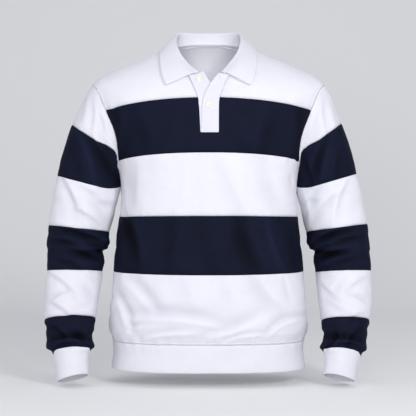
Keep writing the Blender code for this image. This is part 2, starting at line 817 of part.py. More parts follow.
def collar_section(side, place):
    """Middle line of the collar at one station: up the stand, over the fold and down the leaf."""
    numbered = [(i, row) for i, row in enumerate(COLLAR)]
    keyed = table("at " + " ".join(COLLAR[0]._fields), *[(i, *row) for i, row in numbered])
    seam, fold, edge = (
        np.array([read(keyed, "at", place, f"{line}_{axis}") for axis in "xyz"])
        for line in ("seam", "fold", "edge")
    )
    sag = read(keyed, "at", place, "sag")
    if side == LEFT:
        set_back = LEFT_SET_BACK * max(0.0, place - (len(COLLAR) - 3)) / 2
        seam[0] += set_back
        fold[0] += set_back
    outward = np.array([*(edge - fold)[:2], 0.0])
    outward /= np.linalg.norm(outward)
    up = np.array([0.0, 0.0, 1.0])
    inside = fold - outward * FOLD_HALF - up * FOLD_DROP
    over = fold + outward * FOLD_HALF - up * FOLD_DROP
    fall = edge - over
    crown = np.cross(np.cross(fall, up), fall)
    crown = crown / np.linalg.norm(crown) * LEAF_CROWN
    line = [seam, mix(seam, inside, 0.5), inside, fold + up * FOLD_TOP, over]
    line += [over + fall * t + (crown - up * sag) * math.sin(math.pi * t) for t in (0.2, 0.5, 0.8)]
    line.append(edge)
    if place > len(COLLAR) / 2 - 1:
        line[4:] = [clear_of_yoke(point) for point in line[4:]]
    return np.array(line) * (side, 1, 1)


def build_collar():
    last = len(COLLAR) - 1
    places = [last * i / (STATIONS - 1) for i in range(STATIONS)]
    sections = [collar_section(RIGHT, place) for place in places[::-1]]
    sections += [collar_section(LEFT, place) for place in places[1:]]
    line = np.array(sections)
    along = np.gradient(line, axis=0)
    across = np.gradient(line, axis=1)
    normal = np.cross(along, across)
    normal /= np.linalg.norm(normal, axis=2, keepdims=True)
    skin = Skin()
    skin.add("collar", line, flip=True)
    flat = {skin.corner(p): n for p, n in zip(line.reshape(-1, 3), normal.reshape(-1, 3))}
    half = COLLAR_CLOTH / 2
    quads = skin.panels["collar"]
    outer = {i: skin.points[i] + flat[i] * half for i in flat}
    inner = {i: skin.points[i] - flat[i] * half for i in flat}
    wall("collar", quads, outer, inner, RIB)


# ---------------------------------------------------------------- neck tape and buttons

TAPE_TOP, TAPE_FOOT = 1.0, 9.0  # the tape's two edges, measured down from the neck seam
TAPE_CLOTH = 1.2
TAPE_REST = 0.3  # more clear space than a seam has, because the back curves under the tape
TAPE_EASE = 3.0  # the tape's ends stand this much further off the cloth, where the neck turns
TAPE_STOP = 0.45  # the tape stops this share of a column short of the shoulder seams


def build_tape(skin, normals):
    """A narrow strip on the inside of the back neck, just under the collar seam."""
    rows, _ = back_yoke_rows()
    first = len(SIDE_SHARES) - 1
    span = len(BACK_MIDDLE)
    ends = [(rows[3][c], rows[2][c]) for c in range(first, first + span)]
    faces = [[normals[skin.corner(p)] for p in pair] for pair in ends]
    for end, inside in ((0, 1), (-1, -2)):
        ends[end] = [mix(a, b, TAPE_STOP) for a, b in zip(ends[end], ends[inside])]
        faces[end] = [mix(a, b, TAPE_STOP) for a, b in zip(faces[end], faces[inside])]
    outer, inner = [], []
    for below in (TAPE_FOOT, TAPE_TOP):
        for (top, foot), (top_face, foot_face), along in zip(ends, faces, BACK_MIDDLE):
            part = below / np.linalg.norm(foot - top)
            normal = mix(top_face, foot_face, part)
            clear = LAYER + TAPE_REST + TAPE_EASE * along**2
            outer.append(mix(top, foot, part) - normal * clear)
            inner.append(mix(top, foot, part) - normal * (clear + TAPE_CLOTH))
    quads = [[c + 1, c, c + span, c + span + 1] for c in range(span - 1)]
    wall("neck_tape", quads, outer, inner, TWILL)


BUTTON_WIDTH = 12.7
BUTTON_THICK = 2.6
BUTTON_SIDES = 18
BUTTON_PROFILE = ((0, 0), (0.78, 0), (1, 0.35), (1, 0.7), (0.9, 1), (0.68, 1), (0.58, 0.72), (0, 0.72))


def build_button(name, x, z, offset):
    """A round button with a raised rim and a dished middle, lying on the placket."""
    normal = front_normal(x, z)
    centre = front_at(x, z) + normal * (offset + SEAM_GAP)
    radius = BUTTON_WIDTH / 2
    bm = bmesh.new()
    verts = [bm.verts.new((r * radius, 0, h * BUTTON_THICK)) for r, h in BUTTON_PROFILE]
    edges = [bm.edges.new(pair) for pair in zip(verts, verts[1:])]
    turn = {"axis": (0, 0, 1), "cent": (0, 0, 0), "angle": 2 * math.pi, "steps": BUTTON_SIDES}
    bmesh.ops.spin(bm, geom=verts + edges, use_merge=True, **turn)
    bmesh.ops.remove_doubles(bm, verts=bm.verts, dist=0.001)
    bmesh.ops.recalc_face_normals(bm, faces=bm.faces)
    across = np.cross((0, 0, 1), normal)
    across /= np.linalg.norm(across)
    upward = np.cross(normal, across)
    for vert in bm.verts:
        vert.co = centre + across * vert.co.x + upward * vert.co.y + normal * vert.co.z
    new_object(name, bm, SHELL)


# ---------------------------------------------------------------- build

for old in list(bpy.data.objects):
    bpy.data.objects.remove(old)

skin = Skin()
finishes = {**build_body(skin), **build_sleeves(skin)}
groups = {
    "body": [name for name in skin.panels if name.startswith(("front", "back", "hem"))],
    "sleeve_r": [name for name in skin.panels if name.startswith(("sleeve_r", "cuff_r"))],
    "sleeve_l": [name for name in skin.panels if name.startswith(("sleeve_l", "cuff_l"))],
}
press_folds(skin, groups)
cut_panels(skin, groups, finishes)
build_placket()
build_collar()
build_tape(skin, skin.normals(groups["body"]))
build_button("button_top", -19.8, -77.0, 0.0)
build_button("button_lower", 0.6, -134.0, upper_offset(0.6, -134.0))
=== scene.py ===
"""Looks of the long-sleeve polo shirt: jersey panels with their folds, ribs, placket, collar and buttons."""

import math
from collections import Counter, namedtuple

import bmesh
import bpy
import numpy as np
from mathutils import Matrix, Vector, noise
from mathutils.bvhtree import BVHTree
from mathutils.kdtree import KDTree


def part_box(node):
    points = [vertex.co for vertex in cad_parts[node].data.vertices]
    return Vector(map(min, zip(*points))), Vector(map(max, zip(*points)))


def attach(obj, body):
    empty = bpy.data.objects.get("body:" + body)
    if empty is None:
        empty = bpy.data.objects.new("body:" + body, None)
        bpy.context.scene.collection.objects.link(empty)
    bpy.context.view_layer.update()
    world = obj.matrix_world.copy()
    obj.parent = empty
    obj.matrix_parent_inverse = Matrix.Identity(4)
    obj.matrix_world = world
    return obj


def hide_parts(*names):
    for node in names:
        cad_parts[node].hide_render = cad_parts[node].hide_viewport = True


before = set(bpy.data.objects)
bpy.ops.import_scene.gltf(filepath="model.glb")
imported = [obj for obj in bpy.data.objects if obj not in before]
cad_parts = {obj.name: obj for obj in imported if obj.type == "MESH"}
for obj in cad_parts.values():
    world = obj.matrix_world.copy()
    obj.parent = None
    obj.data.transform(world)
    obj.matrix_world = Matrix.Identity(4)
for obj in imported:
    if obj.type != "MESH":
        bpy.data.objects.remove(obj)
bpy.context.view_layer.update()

# ------------------------------------------------------------------------------------------------
# Body panels: front and back bands of heavy brushed cotton jersey in white and navy, 320 g a square metre.
# They are overlocked edge to edge and joined at the sides and shoulders. The allowances are pressed up
# behind each join and held by a row of stitches, which leaves a shallow valley and a ridge in front.

MM = 0.001
JERSEY = 1.6 * MM  # thickness of the cloth
WALL = 3.2 * MM  # no wall is thicker than this
SAME_POINT = 0.02 * MM
SEAM_REACH = 1.1 * MM  # cut edges within this distance are sewn together
FINENESS = 3  # times that a panel's faces are halved
FRONT, BACK, RIGHT, LEFT = "front", "back", "right", "left"


def looks_through(face, tree):
    """Whether the other side of a thin wall lies straight behind this face."""
    start = face.calc_center_median() - face.normal * 0.05 * MM
    behind, distance = tree.ray_cast(start, -face.normal)[1::2]
    return distance is not None and distance < WALL and behind.dot(face.normal) < -0.8


def wall_of(node):
    """A CAD node's wall with its faces joined up."""
    bm = bmesh.new()
    bm.from_mesh(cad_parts[node].data)
    bmesh.ops.remove_doubles(bm, verts=bm.verts, dist=SAME_POINT)
    return bm


def pair_triangles(bm):
    """Join the triangles into quads."""
    flat, square = math.radians(40), math.radians(70)
    bmesh.ops.join_triangles(bm, faces=bm.faces, angle_face_threshold=flat, angle_shape_threshold=square)


def edges_on(face, side):
    """How many of a face's edges lie on a side of the wall."""
    return sum(not side.isdisjoint(edge.link_faces) for edge in face.edges)


def outer_side(node):
    """The outer side of a panel's wall, as quads."""
    bm = wall_of(node)
    tree = BVHTree.FromBMesh(bm)
    left = {face for face in bm.faces if looks_through(face, tree)}
    sides = []
    while left:
        queue, side = [left.pop()], set()
        while queue:
            face = queue.pop()
            side.add(face)
            near = {other for edge in face.edges for other in edge.link_faces if other in left}
            left -= near
            queue += near
        sides.append(side)
    outer = max(sides, key=lambda side: sum(face.calc_area() for face in side))
    while True:  # take in the few faces in sharp bends, which don't look straight through
        left = [face for face in bm.faces if face not in outer]
        more = {face for face in left if edges_on(face, outer) > 1}
        if not more:
            break
        outer |= more
    bmesh.ops.delete(bm, geom=left, context="FACES")
    pair_triangles(bm)
    return bm


def saved(bm, name):
    """The bmesh as a mesh."""
    mesh = bpy.data.meshes.new(name)
    bm.to_mesh(mesh)
    bm.free()
    return mesh


def put(name, data):
    """A new object in the scene."""
    made = bpy.data.objects.new(name, data)
    bpy.context.scene.collection.objects.link(made)
    return made


def subdivided(bm, levels, name):
    """The bmesh rounded by subdivision, as a mesh."""
    mesh = saved(bm, name)
    form = put(name, mesh)
    rounding = form.modifiers.new("rounding", "SUBSURF")
    rounding.levels = rounding.render_levels = levels
    rounding.boundary_smooth = "PRESERVE_CORNERS"
    ready = form.evaluated_get(bpy.context.evaluated_depsgraph_get())
    fine = bpy.data.meshes.new_from_object(ready)
    bpy.data.objects.remove(form)
    bpy.data.meshes.remove(mesh)
    return fine


def sewn_skin(nodes, levels):
    """The outer sides of these panels sewn together and rounded. Each face's material index is its panel."""
    skin = bmesh.new()
    for index, node in enumerate(nodes):
        sheet = outer_side(node)
        for face in sheet.faces:
            face.material_index = index
        piece = saved(sheet, node)
        skin.from_mesh(piece)
        bpy.data.meshes.remove(piece)
    bmesh.ops.remove_doubles(skin, verts=skin.verts, dist=SEAM_REACH)
    bmesh.ops.holes_fill(skin, edges=[edge for edge in skin.edges if edge.is_boundary], sides=6)
    return subdivided(skin, levels, "skin")


def read_vectors(mesh):
    """A mesh's points and normals as arrays."""
    points = np.empty(len(mesh.vertices) * 3)
    mesh.vertices.foreach_get("co", points)
    normals = np.empty(len(mesh.vertices) * 3)
    mesh.vertices.foreach_get("normal", normals)
    return points.reshape(-1, 3), normals.reshape(-1, 3)


def move_points(mesh, points):
    """Put a mesh's points in new places."""
    mesh.vertices.foreach_set("co", points.ravel())
    mesh.update()


def corner_points(mesh):
    """The point at each face's corners, four to a face."""
    corners = np.empty(len(mesh.loops), int)
    mesh.loops.foreach_get("vertex_index", corners)
    return corners


def hill(values, middle, width):
    """A rounded hill one high at its middle."""
    return np.exp(-(((values - middle) / width) ** 2))


DEPTH = 1.25 * MM  # one step of a fold's depth
FOLD = namedtuple("fold", "a1 z1 a2 z2 bow width depth lip")
FACES = {FRONT: (1, -1), BACK: (1, 1), RIGHT: (0, -1), LEFT: (0, 1)}  # each face's axis and sign


def folds(*rows):
    """Folds in millimetres, as seen on one face: two ends, how far the middle bows to one side, half width,
    steps of depth (negative for a ridge), and how high the cloth stands up beside the trough. A positive bow
    or lip is above a run to the right and to the right of a run down, a negative one on the other side. The
    lip's side is the steeper."""
    return [FOLD(*row) for row in rows]


def press(points, normals, face, rows):
    """How far the folds on one face move each point along its normal."""
    axis, sign = FACES[face]
    facing = np.clip(normals[:, axis] * sign * 1.4, 0, 1)
    flat = points[:, [1 - axis, 2]] / MM
    moves = np.zeros(len(points))
    for fold in rows:
        start, end = np.array([fold.a1, fold.z1]), np.array([fold.a2, fold.z2])
        run = end - start
        length = np.linalg.norm(run)
        across = np.array([-run[1], run[0]]) / length
        along = np.clip((flat - start) @ run / length**2, 0, 1)
        path = start + along[:, None] * run + (4 * along * (1 - along) * fold.bow)[:, None] * across
        off = flat - path
        side = off @ across / fold.width * (-1 if fold.lip < 0 else 1)
        side = side / np.where(side > 0, 0.75, 1.25) if fold.lip else side
        beyond = (off @ run / length) / (fold.width * 1.5)
        taper = np.sin(np.pi * np.clip(0.15 + 0.7 * along, 0, 1)) ** 0.8
        trough = hill(side, 0, 1) - abs(fold.lip) * hill(side, 1.8, 0.8)
        moves -= fold.depth * DEPTH * trough * hill(beyond, 0, 1) * taper * facing
    return moves


def waviness(points, size, height, seed):
    """A gentle unevenness of the cloth, with swells of that size."""
    shift = Vector((seed * 7.3, seed * 3.1, seed * 5.7))
    return np.array([noise.noise(Vector(point) / size + shift) for point in points]) * height


def panel_index(mesh):
    """Each face's panel."""
    panels = np.empty(len(mesh.polygons), int)
    mesh.polygons.foreach_get("material_index", panels)
    return panels


def seam_points(mesh):
    """Which points lie on a join between two panels."""
    corners = corner_points(mesh)
    per_corner = np.repeat(panel_index(mesh), 4)
    low = np.full(len(mesh.vertices), 999)
    high = np.full(len(mesh.vertices), -1)
    np.minimum.at(low, corners, per_corner)
    np.maximum.at(high, corners, per_corner)
    return low != high


def tree_of(points, some):
    """A search tree of some of the points."""
    tree = KDTree(int(some.sum()))
    for index in np.flatnonzero(some):
        tree.insert(points[index], int(index))
    tree.balance()
    return tree


def nearest_of(points, some):
    """Each point's distance to the nearest of some of them, and its height above that one."""
    tree = tree_of(points, some)
    found = [tree.find(point) for point in points]
    return np.array([near[2] for near in found]), points[:, 2] - np.array([near[0][2] for near in found])


def distance_to(points, some):
    """Each point's distance to the nearest of some of them."""
    return nearest_of(points, some)[0]


ALLOWANCE = 5.0 * MM  # from a join up to the row of stitches that holds its allowance
SEAM_PROFILE = ((0, 0), (1.2, 0.8), (3.2, 1), (4.8, 0.3), (6, 0.35), (8.5, 0.7))  # mm above a join, height
SEAM_RELIEF = 1.2 * MM  # the profile's full height


def pressed_seam(distance, height):
    """A join's valley, the slight ridge of its allowance above it, and the line its stitches pull in."""
    ridge = hill(distance, 0.5 * ALLOWANCE, 0.35 * ALLOWANCE) * 0.35 * MM
    line = hill(distance, ALLOWANCE, 0.22 * ALLOWANCE) * 0.45 * MM
    return np.where(height > 0, ridge - line, 0) - hill(distance, 0, 1.2 * MM) * 0.5 * MM


def keep_seams(mesh, distance, height):
    """Each face's distance above the join below it in millimetres, kept for the cloth's surface. A face that
    lies nearer to the join above it has no allowance on it and is given a distance far from any."""
    corners = corner_points(mesh)
    above = np.repeat(height[corners].reshape(-1, 4).mean(axis=1) > 0, 4)
    kept = mesh.attributes.new("seam", "FLOAT", "CORNER")
    kept.data.foreach_set("value", np.where(above, distance[corners] / MM, 2 * SEAM_PROFILE[-1][0]))


def keep_folds(mesh, moves):
    """How many millimetres the folds move each point out of the cloth's smooth form, kept for its surface,
    where it sets the painted shade in the hollows and the painted highlight on the ridges.
    """
    mesh.attributes.new("fold", "FLOAT", "POINT").data.foreach_set("value", moves / MM)


def puckers(points, distance, around, reach, pitch, height, seed):
    """Small gathers square to a seam. around is each point's distance along it."""
    places = zip(around / pitch, points[:, 2] / (4 * pitch))
    waves = np.array([noise.noise(Vector((along, seed, up))) for along, up in places])
    return waves * height * hill(distance, 0, reach)


def ripples(around, pitch, height, seed):
    """Upright gathers along a seam. around is each point's distance along it."""
    return waviness(np.stack([around, around * 0, around * 0], 1), pitch, height, seed)


def ring_length(points, half, deep, square):
    """Distance round the body from the middle of the front, read from a rounded ring of the body's size."""
    turn = np.linspace(-math.pi, math.pi, 721)
    x = half * np.sign(np.sin(turn)) * np.abs(np.sin(turn)) ** (2 / square)
    y = -deep * np.sign(np.cos(turn)) * np.abs(np.cos(turn)) ** (2 / square)
    steps = np.hypot(np.diff(x), np.diff(y))
    length = np.concatenate(([0], np.cumsum(steps)))
    angle = np.unwrap(np.arctan2(x / half, -y / deep))
    at = np.arctan2(points[:, 0] / half, -points[:, 1] / deep)
    return np.interp(at, angle, length - length[-1] / 2), length[-1]


def lay_uv(mesh, turn, radius, up, start):
    """A UV map in metres: the turn round the tube times its radius, and up the tube. Each face's turn begins
    at its own start and doesn't jump inside it."""
    corners = corner_points(mesh)
    starts = start[:, None]
    turned = starts + (turn[corners].reshape(-1, 4) - starts) % (2 * math.pi)
    turned += 2 * math.pi * ((turned.max(axis=1, keepdims=True) - turned) > math.pi)
    uv = np.stack([turned.ravel() * radius[corners], up[corners]], axis=1)
    layer = mesh.uv_layers.new(name="cloth")
    layer.uv.foreach_set("vector", uv.ravel())


def colour(hex_value):
    """An sRGB hex colour as linear RGBA."""
    channels = [int(hex_value[i : i + 2], 16) / 255 for i in (1, 3, 5)]
    linear = [c / 12.92 if c <= 0.04045 else ((c + 0.055) / 1.055) ** 2.4 for c in channels]
    return (*linear, 1)


def add(tree, kind, settings=None, **inputs):
    """A shader node with its settings; an input is a value or the socket linked to it."""
    made = tree.nodes.new("ShaderNode" + kind)
    for name, value in (settings or {}).items():
        setattr(made, name, value)
    for name, value in inputs.items():
        socket = made.inputs[int(name[1:]) if name[1:].isdigit() else name.replace("_", " ")]
        if isinstance(value, bpy.types.NodeSocket):
            tree.links.new(value, socket)
        else:
            socket.default_value = value
    return made


def maths(tree, operation, *values):
    """The result of a sum on values or sockets."""
    inputs = {f"_{index}": value for index, value in enumerate(values)}
    return add(tree, "Math", {"operation": operation}, **inputs).outputs[0]


def blend(tree, share, low, high):
    """The mix of two colours, from low at no share to high at full share. Each is a colour or a socket."""
    return add(tree, "Mix", {"data_type": "RGBA"}, Factor=share, _6=low, _7=high).outputs[2]


def shader(name, **values):
    """A new material: its node tree and its Principled shader, with those values on the shader's sockets."""
    made = bpy.data.materials.new(name)
    made.use_nodes = True
    surface = made.node_tree.nodes["Principled BSDF"]
    for socket, value in values.items():
        surface.inputs[socket.replace("_", " ")].default_value = value
    return made, made.node_tree, surface


WALE, COURSE = 1.1 * MM, 0.8 * MM  # width and height of one knit loop


def knit_height(tree, place, wale, course):
    """Height of plain knit: columns of V-shaped loops."""
    flat = add(tree, "SeparateXYZ", _0=place.outputs["UV"])
    column = maths(tree, "DIVIDE", flat.outputs["X"], wale)
    inside = maths(tree, "PINGPONG", column, 0.5)
    lean = maths(tree, "DIVIDE", flat.outputs["Y"], course)
    arch = maths(tree, "PINGPONG", maths(tree, "ADD", lean, inside), 0.5)
    return maths(tree, "MULTIPLY_ADD", arch, 0.5, inside)


def seam_height(tree):
    """Height of a join's valley, the ridge of its allowance above it, and the dip its stitches pull in."""
    seam = add(tree, "Attribute", {"attribute_name": "seam"})
    reach = SEAM_PROFILE[-1][0]
    place = add(tree, "MapRange", Value=seam.outputs["Fac"], From_Max=reach)
    profile = add(tree, "ValToRGB", Fac=place.outputs[0])
    ramp = profile.color_ramp
    ramp.interpolation = "EASE"
    for distance, height in SEAM_PROFILE[1:-1]:
        ramp.elements.new(distance / reach).color = (height, height, height, 1)
    ramp.elements[0].color = [SEAM_PROFILE[0][1]] * 3 + [1]
    ramp.elements[-1].color = [SEAM_PROFILE[-1][1]] * 3 + [1]
    return profile


FOLD_SHADE_DEPTHS = (-8.0, 6.0)  # the painted shade in the hollows and the painted highlight on the ridges reach full strength this many mm below and above the cloth's smooth form


def jersey(name, tones, roughness, sheen, nap, gloss):
    """Brushed cotton jersey, knitted fine and raised a little on the face. The brushing gives a matte, soft
    surface with faint clouds of lighter and darker fibre, and the loops show only close up. Painted shade
    darkens the hollows of the folds and a painted highlight lightens their ridges, by each point's fold
    depth. Tones: light and shade of the fibre clouds, and, where given, the painted shade for the hollows and
    the painted highlight for the ridges."""
    light, shade, *folded = tones
    cotton = {"Sheen_Weight": sheen, "Sheen_Roughness": 0.5, "Specular_IOR_Level": gloss, "IOR": 1.5}
    made, tree, surface = shader(name, Roughness=roughness, **cotton)
    place = add(tree, "UVMap", {"uv_map": "cloth"})
    solid = add(tree, "TexCoord")
    clouds = add(tree, "TexNoise", Vector=solid.outputs["Object"], Scale=28.0, Detail=4.0, Roughness=0.6)
    fibre = add(tree, "TexNoise", Vector=solid.outputs["Object"], Scale=420.0, Detail=2.0)
    both = maths(tree, "MULTIPLY_ADD", fibre.outputs[0], 0.35, clouds.outputs[0])
    cloudy = add(tree, "MapRange", Value=both, From_Min=0.45, From_Max=0.95)
    tone = blend(tree, cloudy.outputs[0], colour(shade), colour(light))
    # painted shade in the fold hollows and painted highlight on the fold ridges, mixed in by each point's
    # fold depth
    fold = add(tree, "Attribute", {"attribute_name": "fold"})
    for depth, hex_value in zip(FOLD_SHADE_DEPTHS, folded):
        turned = add(tree, "MapRange", Value=fold.outputs["Fac"], From_Min=0.0, From_Max=depth)
        tone = blend(tree, turned.outputs[0], tone, colour(hex_value))
    tree.links.new(tone, surface.inputs["Base Color"])
    loops = knit_height(tree, place, WALE, COURSE)
    join = seam_height(tree)
    pressed = add(tree, "Bump", Height=join.outputs[0], Distance=SEAM_RELIEF, Strength=1.0)
    fuzz = add(tree, "Bump", Height=fibre.outputs[0], Distance=nap, Strength=0.6, Normal=pressed.outputs[0])
    knit = add(tree, "Bump", Height=loops, Distance=0.12 * MM, Strength=0.5, Normal=fuzz.outputs[0])
    tree.links.new(knit.outputs[0], surface.inputs["Normal"])
    return made


# each: light and shade of the fibre clouds, then painted shade for the fold hollows and painted highlight for
# the fold ridges
WHITE_TONES_AND_FOLD_SHADING = ("#E2E2EA", "#DCDCE5", "#D2D2DB", "#E4E4EC")
NAVY_TONES_AND_FOLD_SHADING = ("#161A2C", "#131626", "#06070D", "#1C2139")
WHITE_JERSEY = jersey("white_brushed_cotton_jersey", WHITE_TONES_AND_FOLD_SHADING, 0.88, 0.06, 0.25 * MM, 0.25)
NAVY_JERSEY = jersey("navy_brushed_cotton_jersey", NAVY_TONES_AND_FOLD_SHADING, 0.7, 0.0, 0.25 * MM, 0.05)
CLOTH_OF = {"white": (WHITE_JERSEY, "white_jersey"), "navy": (NAVY_JERSEY, "navy_jersey")}

EDGE_BAND = 1.2 * MM  # the cloth turns in at a seam over this width
EDGE_DROP = 0.7 * MM  # and sinks this far


def cut_piece(skin, index, name, material, thickness):
    """One panel of the skin as a shell of its own, with its edges turned in at the seams."""
    bm = bmesh.new()
    bm.from_mesh(skin)
    bmesh.ops.delete(bm, geom=[face for face in bm.faces if face.material_index != index], context="FACES")
    bmesh.ops.inset_region(bm, faces=bm.faces, use_boundary=True, use_even_offset=True, thickness=EDGE_BAND)
    edge = {vert for edge in bm.edges if edge.is_boundary for vert in edge.verts}
    for vert in edge:
        vert.co -= vert.normal * EDGE_DROP
    for face in bm.faces:
        face.material_index = 0
        face.smooth = True
    mesh = saved(bm, name)
    mesh.materials.append(material)
    piece = put(name, mesh)
    wall = piece.modifiers.new("cloth", "SOLIDIFY")
    wall.thickness = thickness
    wall.offset = -1
    return piece


def flat_size(piece):
    """The cut's width and length from its UV map in metres, and the area of its shell. The length is the area
    over the width where the creased cloth holds more than the map counts."""
    uv = np.empty(len(piece.data.loops) * 2)
    piece.data.uv_layers["cloth"].uv.foreach_get("vector", uv)
    uv = uv.reshape(-1, 2)
    width, length = uv.max(axis=0) - uv.min(axis=0)
    area = sum(face.area for face in piece.data.polygons)
    return (float(width), float(max(length, area / width))), area


def stand_in(piece, node):
    """Put a piece in the frame in place of its CAD node."""
    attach(piece, "root")
    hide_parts(node)


def hang(piece, node):
    """Put a cloth piece in the frame in place of its CAD node, and work out its flat size and area."""
    stand_in(piece, node)
    flat, area = flat_size(piece)


BANDS = ["chest_navy", "mid_white", "low_navy", "bottom_white"]
BODY_PANELS = ["front_yoke_r", "front_yoke_l", *["front_" + band for band in BANDS]]
BODY_PANELS += ["back_yoke_white", *["back_" + band for band in BANDS], "hem_rib"]
body = sewn_skin(BODY_PANELS, FINENESS)

BODY_FOLDS = {
    FRONT: folds(
        # chest: the front breaks beside each armhole, and soft drags run towards it
        (-207, -131, -203, -225, 0, 13, 3.0, 0.2),
        (204, -131, 200, -225, 0, 12, 2.8, -0.2),
        (-166, -150, -136, -250, 5, 18, 2.2, 0.2),
        (150, -150, 120, -248, -5, 18, 2.0, -0.2),
        (-92, -176, -112, -240, 0, 15, 1.2, 0.2),
        (62, -196, 90, -246, 0, 15, 1.2, 0.2),
        # middle white: a broad hollow on the wearer's right, slanting drags on the left, a crease at the side
        (-188, -258, -186, -378, 0, 30, 5.0, 0.15),
        (-166, -268, -170, -346, 0, 8, 0.9, 0.3),
        (-64, -260, -68, -352, 3, 12, 1.0, 0.2),
        (16, -254, 78, -376, -6, 17, 2.6, 0.2),
        (50, -262, 97, -370, -4, 12, -1.2, 0),
        (120, -260, 163, -372, -6, 19, 3.2, 0.2),
        (184, -288, 189, -314, 0, 5, 2.4, 0.4),
        (-205, -296, -193, -384, 0, 7, 4.5, 0.4),
        (-26, -300, -12, -372, 0, 16, 1.0, 0),
        # lower navy: a deep hollow at the wearer's right, and a hollow and a ridge slanting down at the left
        (-191, -380, -163, -480, 4, 15, 5.0, 0.3),
        (-84, -384, -88, -500, 0, 15, 2.2, 0.2),
        (66, -386, 108, -498, -6, 18, 4.6, 0.2),
        (128, -382, 165, -500, -5, 8, -3.4, 0),
        (184, -392, 198, -492, 0, 13, 2.6, 0.2),
        (-20, -396, 6, -490, 0, 20, 1.6, 0),
        # bottom white: the cloth blouses over the rib
        (-176, -516, -113, -584, 4, 12, 5.2, -0.35),
        (-208, -544, -171, -634, 5, 9, 4.6, -0.35),
        (-170, -594, 18, -606, 11, 12, 6.2, -0.45),
        (2, -632, 115, -590, -5, 12, 4.8, -0.35),
        (96, -514, 159, -589, -5, 13, 5.0, 0.25),
        (128, -637, 214, -604, 14, 8, 4.6, -0.45),
        (167, -513, 182, -562, 0, 6, 2.2, 0.3),
        (-142, -641, -40, -628, 4, 7, 2.6, -0.4),
        (34, -648, 118, -634, 4, 6, 2.2, -0.4),
        (-62, -518, -42, -580, 0, 15, 1.8, 0.2),
        (28, -520, 48, -578, 0, 14, 1.6, 0.2),
        (-198, -640, -150, -616, 4, 6, 2.6, -0.4),
    ),
    BACK: folds(
        (206, -150, 200, -242, 0, 13, 3.0, -0.2),
        (-204, -146, -199, -238, 0, 13, 2.8, 0.2),
        (150, -160, 124, -250, -4, 18, 2.4, 0.2),
        (-118, -166, -154, -252, 4, 18, 2.2, 0.2),
        (40, -150, 26, -236, 0, 18, 1.4, 0),
        (108, -262, 158, -374, 5, 17, 3.4, 0.2),
        (-20, -262, -66, -374, 6, 17, 2.6, 0.2),
        (-124, -264, -166, -372, 5, 20, 3.2, 0.2),
        (66, -268, 74, -368, 0, 15, 1.6, 0),
        (190, -300, 182, -380, 0, 9, 3.6, -0.3),
        (182, -384, 150, -492, -4, 15, 4.2, -0.3),
        (-74, -388, -108, -498, 5, 17, 4.0, 0.2),
        (-134, -384, -170, -500, 5, 8, -3.0, 0),
        (36, -390, 30, -494, 0, 18, 1.8, 0),
        (174, -518, 110, -588, -5, 12, 4.8, 0.3),
        (206, -546, 169, -632, -6, 9, 4.4, 0.3),
        (164, -606, -18, -600, -10, 12, 5.6, 0.4),
        (-6, -634, -118, -594, 6, 11, 4.6, 0.3),
        (-98, -516, -156, -590, 5, 13, 4.6, -0.25),
        (-126, -640, -212, -606, -13, 8, 4.4, 0.4),
        (122, -644, 28, -632, -4, 7, 2.6, 0.4),
        (56, -520, 40, -582, 0, 15, 1.8, 0),
    ),
    RIGHT: folds(
        (-70, -560, 60, -590, 6, 11, 1.6, -0.3),
        (70, -620, -50, -604, -6, 10, 1.6, 0.3),
        (-60, -400, 30, -486, 4, 12, 2.6, 0.2),
        (50, -330, -10, -372, 0, 11, 2.0, 0.2),
    ),
    LEFT: folds(
        (-60, -572, 66, -596, 6, 11, 1.2, -0.3),
        (66, -624, -54, -610, -6, 10, 1.2, 0.3),
        (-56, -404, 34, -482, 4, 12, 2.4, 0.2),
        (46, -326, -14, -370, 0, 11, 2.0, 0.2),
    ),
}


def end_points(mesh):
    """Which points lie on an open end of a skin."""
    uses = Counter(key for polygon in mesh.polygons for key in polygon.edge_keys)
    ends = np.zeros(len(mesh.vertices), bool)
    ends[[index for key, count in uses.items() if count == 1 for index in key]] = True
    return ends


BODY_RING = (0.214, 0.124, 2.6)  # half width, half depth and squareness of the ring it is measured round
RIB_SEAM = -0.664
ARMHOLE_STITCH = 6 * MM  # from the armhole's edge to the row of stitches that holds its allowance down
ARMHOLE_SIDE, ARMHOLE_LOW = 0.18, -0.4  # the body's armholes lie beyond and above these
SLIT_HALF, SLIT_FOOT = 0.034, -0.200  # the placket lies over this part of the front
SLIT_IN, SLIT_BACK, SLIT_REACH = 4 * MM, 1.5 * MM, 12 * MM  # its edges are tucked in under the placket
PUCKER = 12 * MM


def armhole_edge(mesh, points):
    """Which points lie on the edges of the body's armholes."""
    beyond = (np.abs(points[:, 0]) > ARMHOLE_SIDE) & (points[:, 2] > ARMHOLE_LOW)
    return end_points(mesh) & beyond


def tuck_slit(mesh, points, normals):
    """Draw the yoke's slit edges in under the placket."""
    middle = (normals[:, 1] < 0) & (np.abs(points[:, 0]) < 0.055)
    edge = end_points(mesh) & middle & (points[:, 2] > -0.19) & (points[:, 2] < -0.055)
    tuck = np.clip(1 - distance_to(points, edge) / SLIT_REACH, 0, 1)
    tuck *= np.clip((points[:, 2] + 0.135) / 0.03, 0, 1)
    points[:, 0] -= np.sign(points[:, 0]) * tuck * SLIT_IN
    points[:, 1] += tuck * SLIT_BACK


